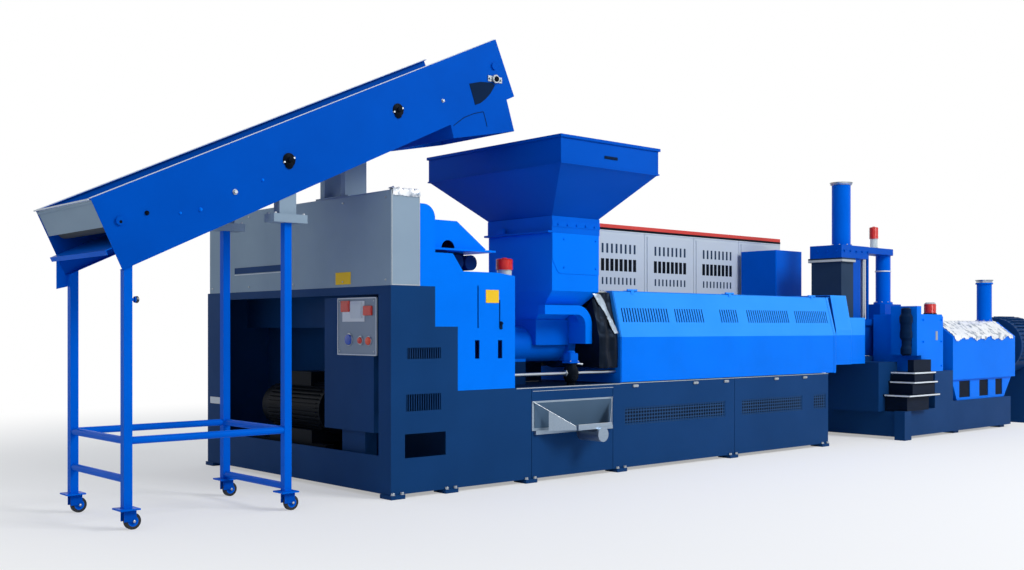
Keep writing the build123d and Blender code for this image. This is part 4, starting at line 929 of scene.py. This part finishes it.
def build_jacket():
    x0, x1 = JACKET_X
    outline = []
    for (y0, z0), (y1, z1) in zip(JACKET_SECTION, JACKET_SECTION[1:] + JACKET_SECTION[:1]):
        steps = max(2, round(math.hypot(y1 - y0, z1 - z0) / JACKET_STEP))
        outline += [(y0 + (y1 - y0) * i / steps, z0 + (z1 - z0) * i / steps) for i in range(steps)]
    middle = Vector((0, 0.5, 1.2))
    shape = bmesh.new()
    rings = []
    for i in range(JACKET_COLUMNS + 1):
        u = i / JACKET_COLUMNS
        ring = []
        for k, (y, z) in enumerate(outline):
            channel = abs(math.sin(k * math.pi / 9))
            puff = 0.014 * min(1, 3 * math.sin(math.pi * u)) * (0.6 + 0.4 * channel ** 0.5)
            fold = 0.008 * math.sin(u * 12 + 1.6 * math.sin(k * 0.11)) * math.sin(math.pi * u)
            fold += 0.003 * math.sin(u * 7 + k * 0.42 + math.sin(k * 0.23))
            spot = Vector((x0 + (x1 - x0) * u, y, z))
            inward = (middle - Vector((0, y, z))).normalized()
            if z > SHOULDER_Z:
                line = x0 + (z - SHOULDER_Z) / 0.05 * (SHOULDER_X - x0)
                spot.x = max(spot.x, line + (x1 - line) * u)
            ring.append(shape.verts.new(spot + inward * (0.02 - puff + fold)))
        rings.append(ring)
    for a, b in zip(rings, rings[1:]):
        wrap(shape, a, b)
    for ring, x in ((rings[0], x0 + 0.004), (rings[-1], x1 - 0.002)):
        inner = []
        for vert in ring:
            bore = BARREL_AT + (Vector((0, vert.co.y, vert.co.z)) - BARREL_AT).normalized() * BORE_R
            bore.x = vert.co.x if vert.co.x > x and ring is rings[0] else x
            inner.append(shape.verts.new(bore))
        wrap(shape, ring, inner)
    jacket = piece("quilted_jacket", shape, JACKET_CLOTH)
    strap = bmesh.new()
    lines = []
    for i in range(STRAP_STEPS + 1):
        u = i / STRAP_STEPS
        z = 1.485 - 0.33 * u
        y = 0.014 + max(0, (z - 1.13) / 0.37) * 0.1
        x = 2.165 + 0.15 * u ** 0.8
        line = []
        for j in range(STRAP_COLUMNS + 1):
            v = j / STRAP_COLUMNS - 0.5
            lift = 0.002 + 0.004 * math.cos(v * 3) + random.uniform(0, 0.006)
            wide = 0.08 - 0.04 * u + 0.014 * math.sin(u * 9) + random.uniform(-0.008, 0.008)
            line.append(strap.verts.new((x + v * wide, y - lift, z)))
        lines.append(line)
    crumpled(strap, lines)
    piece("jacket_foil_strip", strap, DIM_FOIL)
    shape = bmesh.new()
    slab(shape, (2.225, 0.14, 1.498), (2.335, 0.24, 1.509), 3)
    for x in (2.245, 2.28, 2.315):
        bolt(shape, (x, 0.165, 1.509), UP, 13)
    piece("jacket_clamp", shape, ZINC_PLATE)
    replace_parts(jacket, "insulation_jacket")


build_base()
build_hood()
build_panel()
build_beacons()
build_hopper()
build_valve()
build_feeder()
build_castors()
build_cabinets()
build_guard()
build_second_cover()
build_changer()
build_jacket()


# Camera where the photographer stood: level, eye height 1.2 m
EYE = (-4.639, -6.455, 1.2)
YAW = math.radians(48.2)
SENSOR_MM = 36
LENS_PIXELS = 1133
PHOTO_WIDTH = 1024
HORIZON_BELOW_MIDDLE = 43
camera_data = bpy.data.cameras.new("camera")
camera_data.sensor_width = SENSOR_MM
camera_data.lens = SENSOR_MM * LENS_PIXELS / PHOTO_WIDTH
camera_data.shift_y = HORIZON_BELOW_MIDDLE / PHOTO_WIDTH
camera_data.clip_end = 100
camera = bpy.data.objects.new("camera", camera_data)
bpy.context.scene.collection.objects.link(camera)
camera.location = EYE
camera.rotation_euler = (math.pi / 2, 0, YAW - math.pi / 2)
bpy.context.scene.camera = camera


# Pale floor that fades to white away from the machine, and a soft studio
FLOOR_HALF = 60
FADE_SHIFT = (-3.5, -0.8, 0)
FADE_START, FADE_END = 4.5, 10.0
LAMPS = (("key", (5.5, -11, 9.5), (3, 0.5, 1), 5.0, 1300),
         ("sheen", (12.6, -6.4, 5.2), (3.5, 0, 1.3), 6.0, 50),
         ("fill", (-9, -5, 5), (0, 1, 1), 5.0, 70))


def build_floor():
    mesh = bpy.data.meshes.new("floor")
    shape = bmesh.new()
    bmesh.ops.create_grid(shape, x_segments=2, y_segments=2, size=FLOOR_HALF)
    shape.to_mesh(mesh)
    shape.free()
    floor = bpy.data.objects.new("floor", mesh)
    bpy.context.scene.collection.objects.link(floor)
    floor.location.z = cad_low.z - 0.001
    finish, tree, shader, at = new_finish("studio_floor")
    shader.inputs["Base Color"].default_value = linear("#F2F3F4")
    shader.inputs["Roughness"].default_value = 0.9
    shader.inputs["Specular IOR Level"].default_value = 0.1
    middle = add(tree, "ShaderNodeMapping", {"Location": FADE_SHIFT}, {"Vector": at})
    reach = add(tree, "ShaderNodeVectorMath", {"operation": "LENGTH"}, {0: middle.outputs["Vector"]})
    fade = add(tree, "ShaderNodeMapRange",
               {"interpolation_type": "SMOOTHSTEP", "From Min": FADE_START, "From Max": FADE_END,
                "To Min": 0.4},
               {"Value": reach.outputs["Value"]})
    path = add(tree, "ShaderNodeLightPath")
    seen = add(tree, "ShaderNodeMath", {"operation": "MULTIPLY"},
               {0: path.outputs["Is Camera Ray"], 1: fade.outputs["Result"]})
    white = add(tree, "ShaderNodeEmission", {"Color": (1, 1, 1, 1), "Strength": 1.0})
    both = add(tree, "ShaderNodeMixShader", None,
               {0: seen.outputs["Value"], 1: shader.outputs["BSDF"], 2: white.outputs["Emission"]})
    tree.links.new(both.outputs["Shader"], tree.nodes["Material Output"].inputs["Surface"])
    mesh.materials.append(finish)


def build_lights():
    world = bpy.data.worlds.new("studio")
    world.use_nodes = True
    tree = world.node_tree
    tree.nodes.clear()
    path = add(tree, "ShaderNodeLightPath")
    seen = add(tree, "ShaderNodeMath", {"operation": "MAXIMUM"},
               {0: path.outputs["Is Camera Ray"], 1: path.outputs["Is Glossy Ray"]})
    soft = add(tree, "ShaderNodeBackground", {"Color": linear("#E9F0FA"), "Strength": 0.5})
    white = add(tree, "ShaderNodeBackground", {"Color": (1, 1, 1, 1), "Strength": 1.0})
    both = add(tree, "ShaderNodeMixShader", None,
               {0: seen.outputs["Value"], 1: soft.outputs["Background"], 2: white.outputs["Background"]})
    add(tree, "ShaderNodeOutputWorld", None, {"Surface": both.outputs["Shader"]})
    bpy.context.scene.world = world
    for name, place, aim, size, power in LAMPS:
        lamp = bpy.data.lights.new(name, "AREA")
        lamp.size = size
        lamp.energy = power
        holder = bpy.data.objects.new(name, lamp)
        bpy.context.scene.collection.objects.link(holder)
        holder.location = place
        holder.rotation_euler = (Vector(aim) - Vector(place)).to_track_quat("-Z", "Y").to_euler()


build_floor()
build_lights()
bpy.context.scene.view_settings.view_transform = "Standard"
